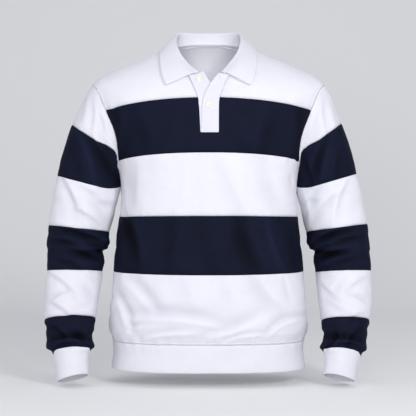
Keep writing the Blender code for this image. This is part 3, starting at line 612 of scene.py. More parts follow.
def crease_body(mesh):
    """Press the folds, the seams and a slight waviness into the body's skin."""
    points, normals = read_vectors(mesh)
    points[:, 2] += hill(points[:, 2], RIB_SEAM, 0.028) * 6 * MM  # the rib draws its seam up
    around, whole = ring_length(points, *BODY_RING)
    seams, above = nearest_of(points, seam_points(mesh))
    below_collar = np.clip((-0.10 - points[:, 2]) / 0.05, 0, 1)  # the yoke is smooth under the collar
    keep_seams(mesh, seams, above)
    moves = sum(press(points, normals, face, rows) for face, rows in BODY_FOLDS.items())
    keep_folds(mesh, moves)
    moves += pressed_seam(seams, above)
    rib_seam = (above > 0) & (points[:, 2] < -0.62)  # the rib's allowance is thick and rolls up
    moves += rib_seam * hill(seams, 2.5 * MM, 2 * MM) * 1.3 * MM
    moves -= rib_seam * hill(seams, 7.5 * MM, 2.5 * MM) * 1.0 * MM
    rib_edge = np.clip((-0.690 - points[:, 2]) / 0.030, 0, 1)
    moves += rib_edge * np.abs(normals[:, 0]) * 6 * MM  # the rib's lower edge springs out at the sides
    moves += waviness(points, 0.075, 1.6 * MM, 1) * (0.25 + 0.75 * below_collar)
    moves += waviness(points, 0.026, 0.5 * MM, 2) * below_collar
    moves += puckers(points, seams, around, PUCKER, PUCKER, 2.0 * MM, 3) * below_collar
    armhole = distance_to(points, armhole_edge(mesh, points))
    moves += 0.9 * MM * hill(armhole, 0.6 * ARMHOLE_STITCH, 0.35 * ARMHOLE_STITCH)
    moves -= 0.5 * MM * hill(armhole, 1.25 * ARMHOLE_STITCH, 0.3 * ARMHOLE_STITCH)
    moves += puckers(points, armhole, points[:, 2], PUCKER, PUCKER, 0.8 * MM, 5)
    blouse = hill(points[:, 2], RIB_SEAM + 0.014, 0.013) * (points[:, 2] > RIB_SEAM + 0.005)
    moves += blouse * ripples(around, 0.017, 3.0 * MM, 4)
    slit = (np.abs(points[:, 0]) < SLIT_HALF) & (points[:, 2] > SLIT_FOOT) & (normals[:, 1] < 0)
    moves[slit] = 0  # the placket lies here
    points += normals * moves[:, None]
    tuck_slit(mesh, points, normals)
    move_points(mesh, points)
    backs = [index for index, node in enumerate(BODY_PANELS) if node.startswith("back")]
    starts = np.where(np.isin(panel_index(mesh), backs), 0, -math.pi)
    radius = whole / (2 * math.pi)
    lay_uv(mesh, around / radius, np.full(len(points), radius), points[:, 2], starts)


crease_body(body)
pieces = {}
for index, node in enumerate(BODY_PANELS[:-1]):
    cloth, slot = CLOTH_OF["navy" if node.endswith("navy") else "white"]
    pieces[node] = cut_piece(body, index, "cloth_" + node, cloth, JERSEY)
    hang(pieces[node], node)

# ------------------------------------------------------------------------------------------------
# Hem rib: one band of two-by-two cotton rib, cut shorter than the body and stretched on to it. It is
# folded double and overlocked to the bottom panels, so it pulls them in and they blouse over it.

RIB_PITCH = 3.2 * MM  # two face wales and two back wales, relaxed
RIB_CLOTH = 1.9 * MM


def rib_knit(name, light, shade, pitch):
    """Fine cotton rib: soft upright cords that catch the light a little."""
    cotton = {"Sheen_Weight": 0.12, "Sheen_Roughness": 0.5, "Specular_IOR_Level": 0.25, "IOR": 1.5}
    made, tree, surface = shader(name, Roughness=0.88, **cotton)
    place = add(tree, "UVMap", {"uv_map": "cloth"})
    solid = add(tree, "TexCoord")
    clouds = add(tree, "TexNoise", Vector=solid.outputs["Object"], Scale=30.0, Detail=4.0)
    fibre = add(tree, "TexNoise", Vector=solid.outputs["Object"], Scale=420.0, Detail=2.0)
    tone = blend(tree, clouds.outputs[0], colour(shade), colour(light))
    tree.links.new(tone, surface.inputs["Base Color"])
    flat = add(tree, "SeparateXYZ", _0=place.outputs["UV"])
    cord = maths(tree, "SINE", maths(tree, "MULTIPLY", flat.outputs["X"], 2 * math.pi / pitch))
    fuzz = add(tree, "Bump", Height=fibre.outputs[0], Distance=0.2 * MM, Strength=0.6)
    ribs = add(tree, "Bump", Height=cord, Distance=0.06 * MM, Strength=0.35, Normal=fuzz.outputs[0])
    tree.links.new(ribs.outputs[0], surface.inputs["Normal"])
    return made


WHITE_RIB = rib_knit("white_cotton_rib", "#E2E2EA", "#DBDBE4", RIB_PITCH)
pieces["hem_rib"] = cut_piece(body, len(BODY_PANELS) - 1, "cloth_hem_rib", WHITE_RIB, RIB_CLOTH)
hang(pieces["hem_rib"], "hem_rib")

# ------------------------------------------------------------------------------------------------
# Sleeves: each is a tube of six jersey bands set into the dropped armhole, ending in a rib cuff. The
# arm's bend presses short folds into the elbow band and the cloth blouses over the cuff.

SLEEVE_BANDS = ["1_white", "2_navy", "3_white", "4_navy", "5_white", "6_navy"]
SLEEVE_FOLDS = {
    "r": {
        FRONT: folds(
            # cap and upper arm
            (-264, -128, -266, -186, 3, 8, 3.0, 0.3),
            (-247, -150, -236, -203, 3, 7, 3.0, 0.3),
            (-284, -120, -292, -162, 0, 9, 1.8, 0.2),
            (-293, -190, -254, -306, 5, 8, -3.6, 0),
            (-265, -212, -206, -304, 4, 11, 5.0, 0.3),
            (-308, -226, -288, -300, 3, 10, 2.0, 0.2),
            (-240, -206, -214, -262, 3, 7, 3.0, 0.3),
            # above the elbow
            (-333, -296, -299, -386, 5, 8, 4.6, 0.4),
            (-310, -332, -281, -398, 4, 8, 3.0, 0.3),
            (-284, -318, -240, -354, 4, 8, 3.6, 0.3),
            (-300, -368, -250, -400, 4, 7, 4.2, 0.4),
            (-262, -352, -234, -386, 3, 7, 2.6, 0.3),
            # elbow
            (-330, -409, -234, -445, 6, 7, 6.0, 0.5),
            (-352, -434, -302, -442, 3, 6, 4.4, 0.4),
            (-312, -456, -236, -484, 4, 7, 5.6, 0.5),
            (-336, -478, -288, -494, 3, 6, 3.4, 0.4),
            (-276, -438, -238, -456, 3, 5, 3.0, 0.4),
            # forearm
            (-360, -513, -314, -541, 3, 6, 4.4, 0.4),
            (-357, -565, -318, -544, 3, 6, 3.8, -0.4),
            (-360, -574, -308, -601, 3, 6, 4.2, 0.4),
            (-316, -541, -292, -562, 2, 6, 2.8, 0.3),
            (-286, -526, -256, -564, 3, 8, 2.6, 0.3),
            (-334, -600, -268, -578, 3, 8, 2.6, -0.3),
            (-300, -588, -262, -606, 3, 6, 2.0, 0.3),
            # over the cuff
            (-358, -660, -258, -654, 14, 7, 4.8, -0.4),
            (-345, -624, -316, -654, 3, 6, 3.6, 0.4),
            (-300, -628, -270, -662, 3, 7, 3.2, 0.3),
            (-340, -672, -300, -664, 3, 5, 2.6, -0.4),
        ),
        BACK: folds(
            (-258, -132, -262, -190, 3, 8, 3.0, 0.3),
            (-292, -196, -256, -304, 5, 9, -3.2, 0),
            (-262, -214, -216, -302, 5, 11, 4.4, 0.3),
            (-326, -304, -294, -390, 5, 8, 4.0, 0.4),
            (-286, -330, -246, -372, 4, 8, 3.4, 0.3),
            (-334, -414, -244, -442, 6, 8, 5.0, 0.5),
            (-334, -452, -250, -472, 5, 7, 4.8, 0.5),
            (-342, -484, -280, -494, 3, 6, 3.2, 0.4),
            (-352, -528, -308, -550, 3, 7, 3.6, 0.4),
            (-300, -544, -258, -584, 3, 8, 3.0, 0.3),
            (-350, -590, -316, -608, 3, 6, 3.0, 0.4),
            (-352, -658, -266, -658, 11, 7, 4.2, -0.4),
            (-302, -624, -284, -662, 3, 6, 3.2, 0.4),
        ),
        LEFT: folds(  # the side towards the body
            (-70, -437, 50, -440, 0, 8, -3.0, 0),
            (-90, -457, 50, -462, 0, 6, 6.0, 0.3),
            (-90, -482, 40, -486, 0, 8, -2.2, 0),
            (-80, -350, 40, -366, 4, 9, 2.6, 0.3),
            (-100, -640, 20, -650, 0, 7, 1.6, 0.4),
        ),
        RIGHT: folds(
            (-60, -412, 50, -424, 0, 7, 0.9, 0.3),
            (-70, -459, 50, -452, 0, 7, 1.2, 0.3),
            (-90, -560, 40, -556, 0, 7, 1.0, 0.3),
            (-60, -340, 50, -356, 4, 10, 0.9, 0.3),
            (-100, -628, 20, -640, 4, 8, 2.4, 0.3),
        ),
    },
    "l": {
        FRONT: folds(
            # cap and upper arm
            (263, -130, 269, -186, -3, 8, 2.8, -0.3),
            (247, -150, 236, -203, -3, 7, 2.8, -0.3),
            (286, -124, 298, -172, 0, 9, 1.8, -0.2),
            (268, -214, 238, -286, -5, 10, 4.6, -0.3),
            (281, -196, 254, -288, -4, 8, -3.2, 0),
            (300, -230, 288, -300, 0, 10, 2.0, -0.2),
            (216, -250, 229, -300, 0, 7, 3.4, 0.3),
            # above the elbow
            (205, -329, 217, -378, 0, 9, 4.6, 0.4),
            (318, -304, 289, -394, -5, 8, 3.6, -0.4),
            (273, -350, 231, -394, -4, 8, 3.6, -0.3),
            (300, -330, 262, -356, -4, 8, 2.8, -0.3),
            (246, -318, 228, -352, -3, 8, 2.6, -0.3),
            # elbow
            (318, -410, 238, -441, -6, 7, 6.0, -0.5),
            (312, -458, 241, -479, -5, 7, 5.6, -0.5),
            (348, -426, 288, -439, -3, 6, 4.2, -0.4),
            (330, -474, 262, -494, -3, 6, 3.6, -0.4),
            (274, -446, 240, -460, -3, 5, 3.0, -0.4),
            # forearm
            (357, -520, 312, -545, -3, 6, 4.0, -0.4),
            (359, -574, 317, -552, -3, 6, 3.8, 0.4),
            (354, -596, 318, -608, -3, 6, 2.6, -0.4),
            (252, -534, 288, -567, -3, 8, 3.2, 0.3),
            (268, -574, 320, -597, -3, 8, 3.2, 0.3),
            (306, -520, 280, -546, -3, 7, 2.4, -0.3),
            # over the cuff
            (350, -662, 256, -654, -13, 7, 4.8, 0.4),
            (262, -674, 284, -636, -3, 6, 4.4, -0.4),
            (336, -628, 308, -664, -3, 6, 3.4, -0.4),
            (330, -668, 290, -664, -3, 5, 2.4, 0.4),
        ),
        BACK: folds(
            (256, -134, 264, -186, -3, 8, 3.0, -0.3),
            (290, -200, 250, -298, -5, 9, -3.2, 0),
            (262, -222, 232, -300, -5, 11, 4.2, -0.3),
            (322, -308, 290, -396, -5, 8, 3.8, -0.4),
            (280, -338, 240, -380, -4, 8, 3.4, -0.3),
            (246, -446, 338, -418, 6, 8, 5.0, 0.5),
            (254, -480, 332, -460, 5, 7, 4.8, 0.5),
            (276, -500, 338, -488, 3, 6, 3.0, 0.4),
            (350, -534, 304, -558, -3, 7, 3.4, -0.4),
            (262, -560, 302, -592, -3, 8, 3.0, 0.3),
            (346, -654, 260, -660, -10, 7, 4.0, 0.4),
            (298, -624, 282, -662, -3, 6, 3.0, -0.4),
        ),
        RIGHT: folds(  # the side towards the body
            (-70, -438, 50, -440, 0, 8, -2.6, 0),
            (-90, -459, 50, -462, 0, 6, 5.6, 0.3),
            (-90, -483, 40, -486, 0, 8, -2.0, 0),
            (-80, -346, 40, -362, 4, 9, 2.4, 0.3),
            (-110, -640, 20, -646, 0, 7, 2.2, 0.3),
        ),
        LEFT: folds(
            (-60, -416, 50, -426, 0, 7, 0.8, 0.3),
            (-70, -466, 50, -458, 0, 7, 1.0, 0.3),
            (-90, -556, 40, -560, 0, 7, 0.9, 0.3),
            (-60, -346, 50, -360, 4, 10, 0.8, 0.3),
            (-100, -632, 20, -642, 4, 8, 2.2, 0.3),
        ),
    },
}


def arm_line(points, mesh, count):
    """A sleeve's centre line: the middles of its rings, from the armhole to the cuff's edge, and their radii.
    A ring is a join between two bands, or one of the tube's two ends."""
    corners = corner_points(mesh)
    member = np.zeros((len(points), count), bool)
    member[corners, np.repeat(panel_index(mesh), 4)] = True
    rings = [points[member[:, i] & member[:, i + 1]] for i in range(count - 1)]
    uses = np.bincount(corners, minlength=len(points))
    rim = points[(uses == 2) & (member.sum(axis=1) == 1)]  # a point on a tube's end belongs to two faces
    top, bottom = rim[rim[:, 2] > rings[0][:, 2].min()], rim[rim[:, 2] < rings[-1][:, 2].min()]
    rings = [top, *rings, bottom]
    middles = np.array([(ring.max(axis=0) + ring.min(axis=0)) / 2 for ring in rings])
    radii = np.array([np.linalg.norm(ring - middle, axis=1).mean() for ring, middle in zip(rings, middles)])
    return middles, np.minimum(radii, radii[2])  # the top two rings slant across the arm


def arm_place(points, middles, radii):
    """Each point's turn round the arm from the front, its distance down it, and the arm's radius there."""
    steps = np.diff(middles, axis=0)
    lengths = np.linalg.norm(steps, axis=1)
    starts = np.concatenate(([0], np.cumsum(lengths)))
    best = np.full(len(points), np.inf)
    down, turn = np.zeros(len(points)), np.zeros(len(points))
    for start, step, length, before in zip(middles, steps, lengths, starts):
        axis = step / length
        along = np.clip((points - start) @ axis, -0.08 if before == 0 else 0, length)
        off = points - start - along[:, None] * axis
        distance = np.linalg.norm(off, axis=1)
        forward = np.array([0, -1, 0]) - axis * -axis[1]
        sideways = np.cross(axis, forward)
        closer = distance < best
        best = np.where(closer, distance, best)
        down = np.where(closer, before + along, down)
        turn = np.where(closer, np.arctan2(off @ sideways, off @ forward), turn)
    return turn, down, np.interp(down, starts, radii)


BODY_ENDS = end_points(body)
SEW_REACH = 16 * MM


def sleeve_top(mesh, points):
    """Which points lie on the sleeve's top edge."""
    return end_points(mesh) & (points[:, 2] > ARMHOLE_LOW)


def sew_in(points, top):
    """Bring the sleeve's top edge to the armhole's, and the cloth near it by less the further it is."""
    edge = tree_of(read_vectors(body)[0], BODY_ENDS)
    shifts = {}
    for index in np.flatnonzero(top):
        point = Vector(points[index])
        (start, _, _), (end, _, _) = edge.find_n(point, 2)
        run = end - start
        share = min(max((point - start).dot(run) / run.length_squared, 0), 1)
        shifts[int(index)] = np.array(start + share * run - point)
    tops = tree_of(points, top)
    for index, point in enumerate(points):
        _, nearest, distance = tops.find(point)
        if distance < SEW_REACH:
            points[index] = point + shifts[nearest] * (1 - distance / SEW_REACH) ** 2


def member_points(mesh, chosen):
    """Whether each point belongs to one of the chosen faces."""
    member = np.zeros(len(mesh.vertices), bool)
    member[corner_points(mesh)[np.repeat(chosen, 4)]] = True
    return member


CAP_FOOT = -0.203  # the white cap runs out into the armhole here, and the navy band meets the body below
CAP_TAPER = 34 * MM  # height over which it runs out
CAP_LEFT = 1.5 * MM  # what is left of it
CAP_REACH = 45 * MM  # the cloth this far below it is drawn up with it


def narrow_cap(points, mesh):
    """Draw the join under the cap up to the armhole's edge under the arm, and the cloth below it with it."""
    top = sleeve_top(mesh, points)
    panels = panel_index(mesh)
    join = points[member_points(mesh, panels == 0) & member_points(mesh, panels == 1)]
    widths = {index: np.linalg.norm(join - points[index], axis=1).min() for index in np.flatnonzero(top)}
    edge = tree_of(points, top)
    found = [edge.find(point) for point in points]
    near = np.array([place for place, _, _ in found])
    width = np.array([widths[index] for _, index, _ in found])
    distance = np.array([away for _, _, away in found])
    drawn = 1 - np.minimum(CAP_LEFT / width, 1)
    beyond = width * drawn * np.clip((width + CAP_REACH - distance) / CAP_REACH, 0, 1)
    pull = np.where(distance < width, distance * drawn, beyond)
    pull *= np.clip((CAP_FOOT - near[:, 2]) / CAP_TAPER, 0, 1)
    points += (near - points) / np.maximum(distance, 1e-6)[:, None] * pull[:, None]


def lift_cuff(points, normals, seam):
    """The cuff rides up, most in front."""
    reach = np.where(points[:, 2] > seam, 0.045, 0.024)
    points[:, 2] += hill(points[:, 2], seam, reach) * (9 + 9 * np.clip(-normals[:, 1], 0, 1)) * MM


def press_under_arm(points, towards_body):
    """The under-arm lies against the body."""
    inner = np.clip((0.225 - np.abs(points[:, 0])) / 0.015, 0, 1)
    points[:, 0] += towards_body * hill(points[:, 2], -0.308, 0.034) * inner * 8 * MM


CUFF_LIFT = 13 * MM  # how far the cuff's seam rides up on the whole
CUFF_FLARES = {"r": 3 * MM, "l": 7 * MM}  # how far each cuff leans out at its seam


def crease_sleeve(mesh, side, count):
    """Press the folds and seams into a sleeve's skin."""
    towards_body = 1 if side == "r" else -1
    seed = 11 if side == "r" else 17
    points, normals = read_vectors(mesh)
    cuff_seam = arm_line(points, mesh, count)[0][-2][2]
    lift_cuff(points, normals, cuff_seam)
    cuff_seam += CUFF_LIFT
    narrow_cap(points, mesh)
    press_under_arm(points, towards_body)
    middles, radii = arm_line(points, mesh, count)
    turn, down, radius = arm_place(points, middles, radii)
    around = turn * radius
    seams, above = nearest_of(points, seam_points(mesh))
    keep_seams(mesh, seams, above)
    moves = sum(press(points, normals, face, rows) for face, rows in SLEEVE_FOLDS[side].items())
    keep_folds(mesh, moves)
    moves += pressed_seam(seams, above)
    moves += waviness(points, 0.055, 1.8 * MM, seed)
    moves += waviness(points, 0.022, 0.8 * MM, seed + 1)
    moves += puckers(points, seams, around, 9 * MM, 11 * MM, 1.0 * MM, seed + 2)
    over_cuff = points[:, 2] - cuff_seam
    blouse = hill(over_cuff, 9 * MM, 12 * MM) * (over_cuff > 0)
    moves += blouse * (1.0 + 7.5 * np.abs(normals[:, 0])) * MM  # the sleeve hangs over the cuff
    moves += blouse * ripples(around, 0.011, 2.6 * MM, seed + 3)
    calm = np.clip(over_cuff / 0.010, 0.12, 1)  # the rib cuff stays smooth
    near_body = np.clip((np.abs(points[:, 0]) - 0.205) / 0.02, 0, 1)  # and nothing swells into the body
    moves *= calm * np.where(points[:, 2] > -0.42, near_body, 1)
    outside = np.clip(-towards_body * normals[:, 0], 0, 1)
    waist = hill(over_cuff, -18 * MM, 14 * MM) * np.abs(normals[:, 0])
    moves -= waist * 2.5 * MM * (1 - outside)  # the cuff grips the wrist, but for the hand's outer side
    moves += hill(over_cuff, -2 * MM, 18 * MM) * outside * CUFF_FLARES[side]
    points += normals * moves[:, None]
    sew_in(points, sleeve_top(mesh, points))
    move_points(mesh, points)
    lay_uv(mesh, turn, radius, -down, np.full(len(mesh.polygons), 0.0))


for side in ("r", "l"):
    nodes = [f"sleeve_{side}_{band}" for band in SLEEVE_BANDS] + ["cuff_" + side]
    sleeve = sewn_skin(nodes, FINENESS)
    crease_sleeve(sleeve, side, len(nodes))
    for index, node in enumerate(nodes):
        if node.startswith("cuff"):
            pieces[node] = cut_piece(sleeve, index, "cloth_" + node, WHITE_RIB, RIB_CLOTH)
            hang(pieces[node], node)
        else:
            cloth, slot = CLOTH_OF[node.split("_")[-1]]
            pieces[node] = cut_piece(sleeve, index, "cloth_" + node, cloth, JERSEY)
            hang(pieces[node], node)

# ------------------------------------------------------------------------------------------------
# Placket: two straight bands of cotton twill, folded double and faced on to the slit in the front yoke.
# The upper band laps over the lower one, is boxed at its foot, and opens out at the neck.

TWILL_LINE = 1.2 * MM  # real twill lines are half as wide, too fine to show
PLACKET_CUTS = {"placket_under": (0.040, 0.135), "placket_upper": (0.042, 0.128)}
EDGE_FIRMNESS = 0.75  # how firm a wall's edges stay when it is rounded


def twill(name, light, shade):
    """Cotton twill: smoother than the jersey, with fine slanting lines close up."""
    cotton = {"Sheen_Weight": 0.06, "Sheen_Roughness": 0.45, "Specular_IOR_Level": 0.3, "IOR": 1.5}
    made, tree, surface = shader(name, Roughness=0.82, **cotton)
    place = add(tree, "UVMap", {"uv_map": "cloth"})
    solid = add(tree, "TexCoord")
    clouds = add(tree, "TexNoise", Vector=solid.outputs["Object"], Scale=40.0, Detail=4.0)
    fibre = add(tree, "TexNoise", Vector=solid.outputs["Object"], Scale=500.0, Detail=2.0)
    tone = blend(tree, clouds.outputs[0], colour(shade), colour(light))
    tree.links.new(tone, surface.inputs["Base Color"])
    flat = add(tree, "SeparateXYZ", _0=place.outputs["UV"])
    slant = maths(tree, "ADD", flat.outputs["X"], flat.outputs["Y"])
    line = maths(tree, "SINE", maths(tree, "MULTIPLY", slant, 2 * math.pi / TWILL_LINE))
    fuzz = add(tree, "Bump", Height=fibre.outputs[0], Distance=0.15 * MM, Strength=0.5)
    lines = add(tree, "Bump", Height=line, Distance=0.05 * MM, Strength=0.4, Normal=fuzz.outputs[0])
    tree.links.new(lines.outputs[0], surface.inputs["Normal"])
    return made


WHITE_TWILL = twill("white_cotton_twill", "#DDDDE6", "#D5D5DF")


def rounded_wall(node, levels):
    """A closed wall from the CAD as quads, rounded, with its edges kept firm."""
    bm = wall_of(node)
    bmesh.ops.recalc_face_normals(bm, faces=bm.faces)
    pair_triangles(bm)
    crease = bm.edges.layers.float.new("crease_edge")
    for edge in bm.edges:
        if edge.calc_face_angle(0) > math.radians(50):
            edge[crease] = EDGE_FIRMNESS
    return subdivided(bm, levels, node)


def finished_piece(mesh, name, material):
    """A smooth object made of that mesh."""
    mesh.shade_smooth()
    mesh.materials.clear()
    mesh.materials.append(material)
    return put(name, mesh)


def wall_uv(mesh, radius):
    """A UV map in metres on a wall round the neck: the turn from the front times a radius, and the height."""
    points, _ = read_vectors(mesh)
    turn = np.arctan2(points[:, 0], -points[:, 1] + 0.02)
    lay_uv(mesh, turn, np.full(len(points), radius), points[:, 2], np.full(len(mesh.polygons), -math.pi))


def flat_uv(mesh):
    """A UV map in metres on a flat piece at the front."""
    points, _ = read_vectors(mesh)
    flat = points[corner_points(mesh)][:, [0, 2]]
    mesh.uv_layers.new(name="cloth").uv.foreach_set("vector", flat.ravel())


for node, flat in PLACKET_CUTS.items():
    mesh = rounded_wall(node, FINENESS)
    flat_uv(mesh)
    pieces[node] = finished_piece(mesh, "cloth_" + node, WHITE_TWILL)
    stand_in(pieces[node], node)

# ------------------------------------------------------------------------------------------------
# Collar: one flat-knitted band of white cotton rib, folded over into a stand and a leaf with pointed
# ends. The knitting finishes its edge with a thicker welt, and its foot is sewn round the neck.

WELT_IN, WELT_WIDTH, WELT_HEIGHT = 3.0 * MM, 1.8 * MM, 0.35 * MM
COLLAR_RIB = rib_knit("white_flat_knit_collar", "#E1E1E9", "#D9D9E2", 1.6 * MM)


def rim_points(mesh, turn):
    """Which points lie on an edge sharper than this."""
    rim = np.zeros(len(mesh.vertices), bool)
    bm = bmesh.new()
    bm.from_mesh(mesh)
    for edge in bm.edges:
        if edge.calc_face_angle(0) > turn:
            rim[[vert.index for vert in edge.verts]] = True
    bm.free()
    return rim


def collar_mesh():
    """The folded band with a welt along its edges and a little unevenness."""
    mesh = rounded_wall("collar", 2)
    points, normals = read_vectors(mesh)
    edge = distance_to(points, rim_points(mesh, math.radians(28)))
    welt = hill(edge, WELT_IN, WELT_WIDTH) * WELT_HEIGHT
    welt -= hill(edge, 2.4 * WELT_IN, WELT_WIDTH) * WELT_HEIGHT * 0.6
    moves = np.where(normals[:, 2] > -0.3, welt, 0) + waviness(points, 0.045, 0.5 * MM, 31)
    move_points(mesh, points + normals * moves[:, None])
    wall_uv(mesh, 0.1)
    return mesh


pieces["collar"] = finished_piece(collar_mesh(), "cloth_collar", COLLAR_RIB)
stand_in(pieces["collar"], "collar")

# ------------------------------------------------------------------------------------------------
# Neck tape: a narrow strip of twill, stitched flat over the collar's seam inside the back of the neck
# so the seam doesn't rub. It runs from shoulder to shoulder.

TAPE_HALF = 68 * MM
TAPE_LIFT, TAPE_END_LIFT, TAPE_FORWARD = 5 * MM, 7 * MM, 2.5 * MM


def tape_mesh():
    """The tape drawn up over the foot of the stand, most at its ends, so that it runs straight across."""
    mesh = rounded_wall("neck_tape", FINENESS)
    points, _ = read_vectors(mesh)
    along = np.clip(np.abs(points[:, 0]) / TAPE_HALF, 0, 1)
    points[:, 2] += TAPE_LIFT + TAPE_END_LIFT * along**1.6
    points[:, 1] -= TAPE_FORWARD
    move_points(mesh, points)
    wall_uv(mesh, 0.075)
    return mesh


pieces["neck_tape"] = finished_piece(tape_mesh(), "cloth_neck_tape", WHITE_TWILL)
stand_in(pieces["neck_tape"], "neck_tape")

# ------------------------------------------------------------------------------------------------
# Buttons: two 20-line resin buttons turned with a rolled rim and a dished middle, drilled with four
# holes and sewn on with two bars of thread. The lower one closes the placket, and the upper is undone.

BUTTON_RADIUS, BUTTON_HEIGHT = 6.35 * MM, 2.6 * MM
BUTTON_PROFILE = [(0, 0), (0.86, 0), (0.97, 0.18), (1, 0.45), (0.98, 0.78), (0.9, 0.97), (0.8, 1)]
BUTTON_PROFILE += [(0.71, 0.93), (0.64, 0.74), (0.5, 0.62), (0.25, 0.58), (0, 0.57)]  # down into the dish
HOLE_RADIUS, HOLE_PLACE = 0.85 * MM, 1.45 * MM
STRAND = (HOLE_PLACE * 1.25, 0.24 * MM, 0.42 * MM)  # half sizes of one strand of a bar
STRANDS = (-0.35 * MM, 0, 0.35 * MM)  # and where the three lie in it


def resin():
    """Cream polyester resin: semi-gloss, slightly see-through at the rim, with faint milky swirls."""
    gloss = {"Roughness": 0.28, "IOR": 1.55, "Coat_Weight": 0.2, "Coat_Roughness": 0.12}
    depth = {"Subsurface_Weight": 0.25, "Subsurface_Scale": 2 * MM}
    made, tree, surface = shader("cream_polyester_resin", **gloss, **depth)
    solid = add(tree, "TexCoord")
    swirl = add(tree, "TexNoise", Vector=solid.outputs["Object"], Scale=260.0, Detail=3.0, Distortion=1.2)
    tone = blend(tree, swirl.outputs[0], colour("#E9E2CB"), colour("#F4EFDF"))
    tree.links.new(tone, surface.inputs["Base Color"])
    fine = add(tree, "Bump", Height=swirl.outputs[0], Distance=0.03 * MM, Strength=0.3)
    tree.links.new(fine.outputs[0], surface.inputs["Normal"])
    return made


RESIN = resin()


def front_frame(node):
    """The middle of a button's back and the way it faces."""
    low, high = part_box(node)
    facing = Vector((0, 0, 0))
    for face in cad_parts[node].data.polygons:
        if face.normal.y < -0.75:
            facing += face.normal * face.area
    facing.normalize()
    middle = (Vector(low) + Vector(high)) / 2
    turn = facing.to_track_quat("Z", "Y").to_matrix().to_4x4()
    return Matrix.Translation(middle - facing * BUTTON_HEIGHT / 2) @ turn


def turned_blank():
    """The button as it comes off the lathe."""
    bm = bmesh.new()
    outline = [bm.verts.new((r * BUTTON_RADIUS, 0, h * BUTTON_HEIGHT)) for r, h in BUTTON_PROFILE]
    edges = [bm.edges.new(pair) for pair in zip(outline, outline[1:])]
    turn = {"axis": (0, 0, 1), "cent": (0, 0, 0), "steps": 40, "angle": 2 * math.pi}
    bmesh.ops.spin(bm, geom=outline + edges, use_merge=True, **turn)
    bmesh.ops.remove_doubles(bm, verts=bm.verts, dist=0.01 * MM)
    bmesh.ops.recalc_face_normals(bm, faces=bm.faces)
    return saved(bm, "button")


def four_drills():
    """The drills for a button's holes, as one mesh."""
    bm = bmesh.new()
    size = {"radius1": HOLE_RADIUS, "radius2": HOLE_RADIUS, "depth": 2 * BUTTON_HEIGHT}
    for x, y in ((1, 1), (1, -1), (-1, 1), (-1, -1)):
        place = Matrix.Translation((x * HOLE_PLACE, y * HOLE_PLACE, BUTTON_HEIGHT / 2))
        bmesh.ops.create_cone(bm, cap_ends=True, segments=12, matrix=place, **size)
    return saved(bm, "drill")


def drilled_blank():
    """The turned button with its four holes drilled."""
    blank, drill = put("blank", turned_blank()), put("drill", four_drills())
    cut = blank.modifiers.new("holes", "BOOLEAN")
    cut.object, cut.operation, cut.solver = drill, "DIFFERENCE", "EXACT"
    drilled = bpy.data.meshes.new_from_object(blank.evaluated_get(bpy.context.evaluated_depsgraph_get()))
    for made in (blank, drill):
        bpy.data.objects.remove(made)
    return drilled


def sew_on(bm):
    """Two bars of thread, each over a pair of holes. They have the resin's finish."""
    for y in (1, -1):
        for step in STRANDS:
            bar = bmesh.ops.create_uvsphere(bm, u_segments=8, v_segments=8, radius=1)["verts"]
            place = Matrix.Translation((0, y * HOLE_PLACE + step, BUTTON_HEIGHT * 0.62))
            bmesh.ops.transform(bm, verts=bar, matrix=place @ Matrix.Diagonal((*STRAND, 1)))


def button(node):
    """A button in its place, sewn on."""
    drilled = drilled_blank()
    bm = bmesh.new()
    bm.from_mesh(drilled)
    bpy.data.meshes.remove(drilled)
    sew_on(bm)
    bmesh.ops.transform(bm, verts=bm.verts, matrix=front_frame(node))
    made = finished_piece(saved(bm, "button"), "resin_" + node, RESIN)
    stand_in(made, node)


for node in ("button_top", "button_lower"):
    button(node)

# ------------------------------------------------------------------------------------------------
# Stitching: rows of cotton thread, 8 stitches to 25 mm. They hold down the placket's edges and its boxed
# foot, and the seam allowances round the armholes. The two buttonholes are bound with closer stitches.

STITCH_PITCH, STITCH_LENGTH, THREAD_RADIUS = 3.2 * MM, 2.4 * MM, 0.25 * MM
THREADS = {
    # the white thread's tones are greyed: painted shade for the dips that its stitches pull into the cloth
    "white": jersey("white_cotton_thread_painted_shade", ("#CDCDD8", "#BEBECB"), 0.7, 0.1, 0.05 * MM, 0.3),
    "navy": jersey("navy_cotton_thread", ("#1A1E33", "#141728"), 0.7, 0.0, 0.05 * MM, 0.2),
}
PLACKET_ROWS = (
    [(-10.5, -110), (-12.2, -125), (-12.6, -190)],  # the edge over the slit
    [(20.4, -120), (20.2, -190)],  # the other edge
    [(-12.6, -190.2), (20.2, -190.2)],  # the foot
    [(-12.6, -181.3), (20.2, -181.3)],  # the top of the box
)
BUTTONHOLES = ([(23.6, -66), (25.4, -79)], [(0.6, -127), (0.8, -141)])
BUTTONHOLE_PITCH, BUTTONHOLE_REACH = 0.7 * MM, 0.9 * MM  # of its close stitches, along it and to each side


def surface_of(mesh):
    """A search tree of the mesh's faces."""
    return BVHTree.FromPolygons([v.co[:] for v in mesh.vertices], [p.vertices[:] for p in mesh.polygons])


def walk(points, step):
    """Points evenly spaced along a line."""
    points = np.array(points)
    lengths = np.concatenate(([0], np.cumsum(np.linalg.norm(np.diff(points, axis=0), axis=1))))
    places = np.arange(step / 2, lengths[-1], step)
    return np.stack([np.interp(places, lengths, points[:, i]) for i in range(3)], axis=1)


def on_front(tree, line):
    """A line of (x, z) in millimetres laid on a surface from in front."""
    found = []
    for x, z in walk([(x, 0, z) for x, z in line], 1.0)[:, [0, 2]]:
        place = tree.ray_cast(Vector((x * MM, -0.4, z * MM)), Vector((0, 1, 0)))[0]
        if place is not None:
            found.append(place)
    return found


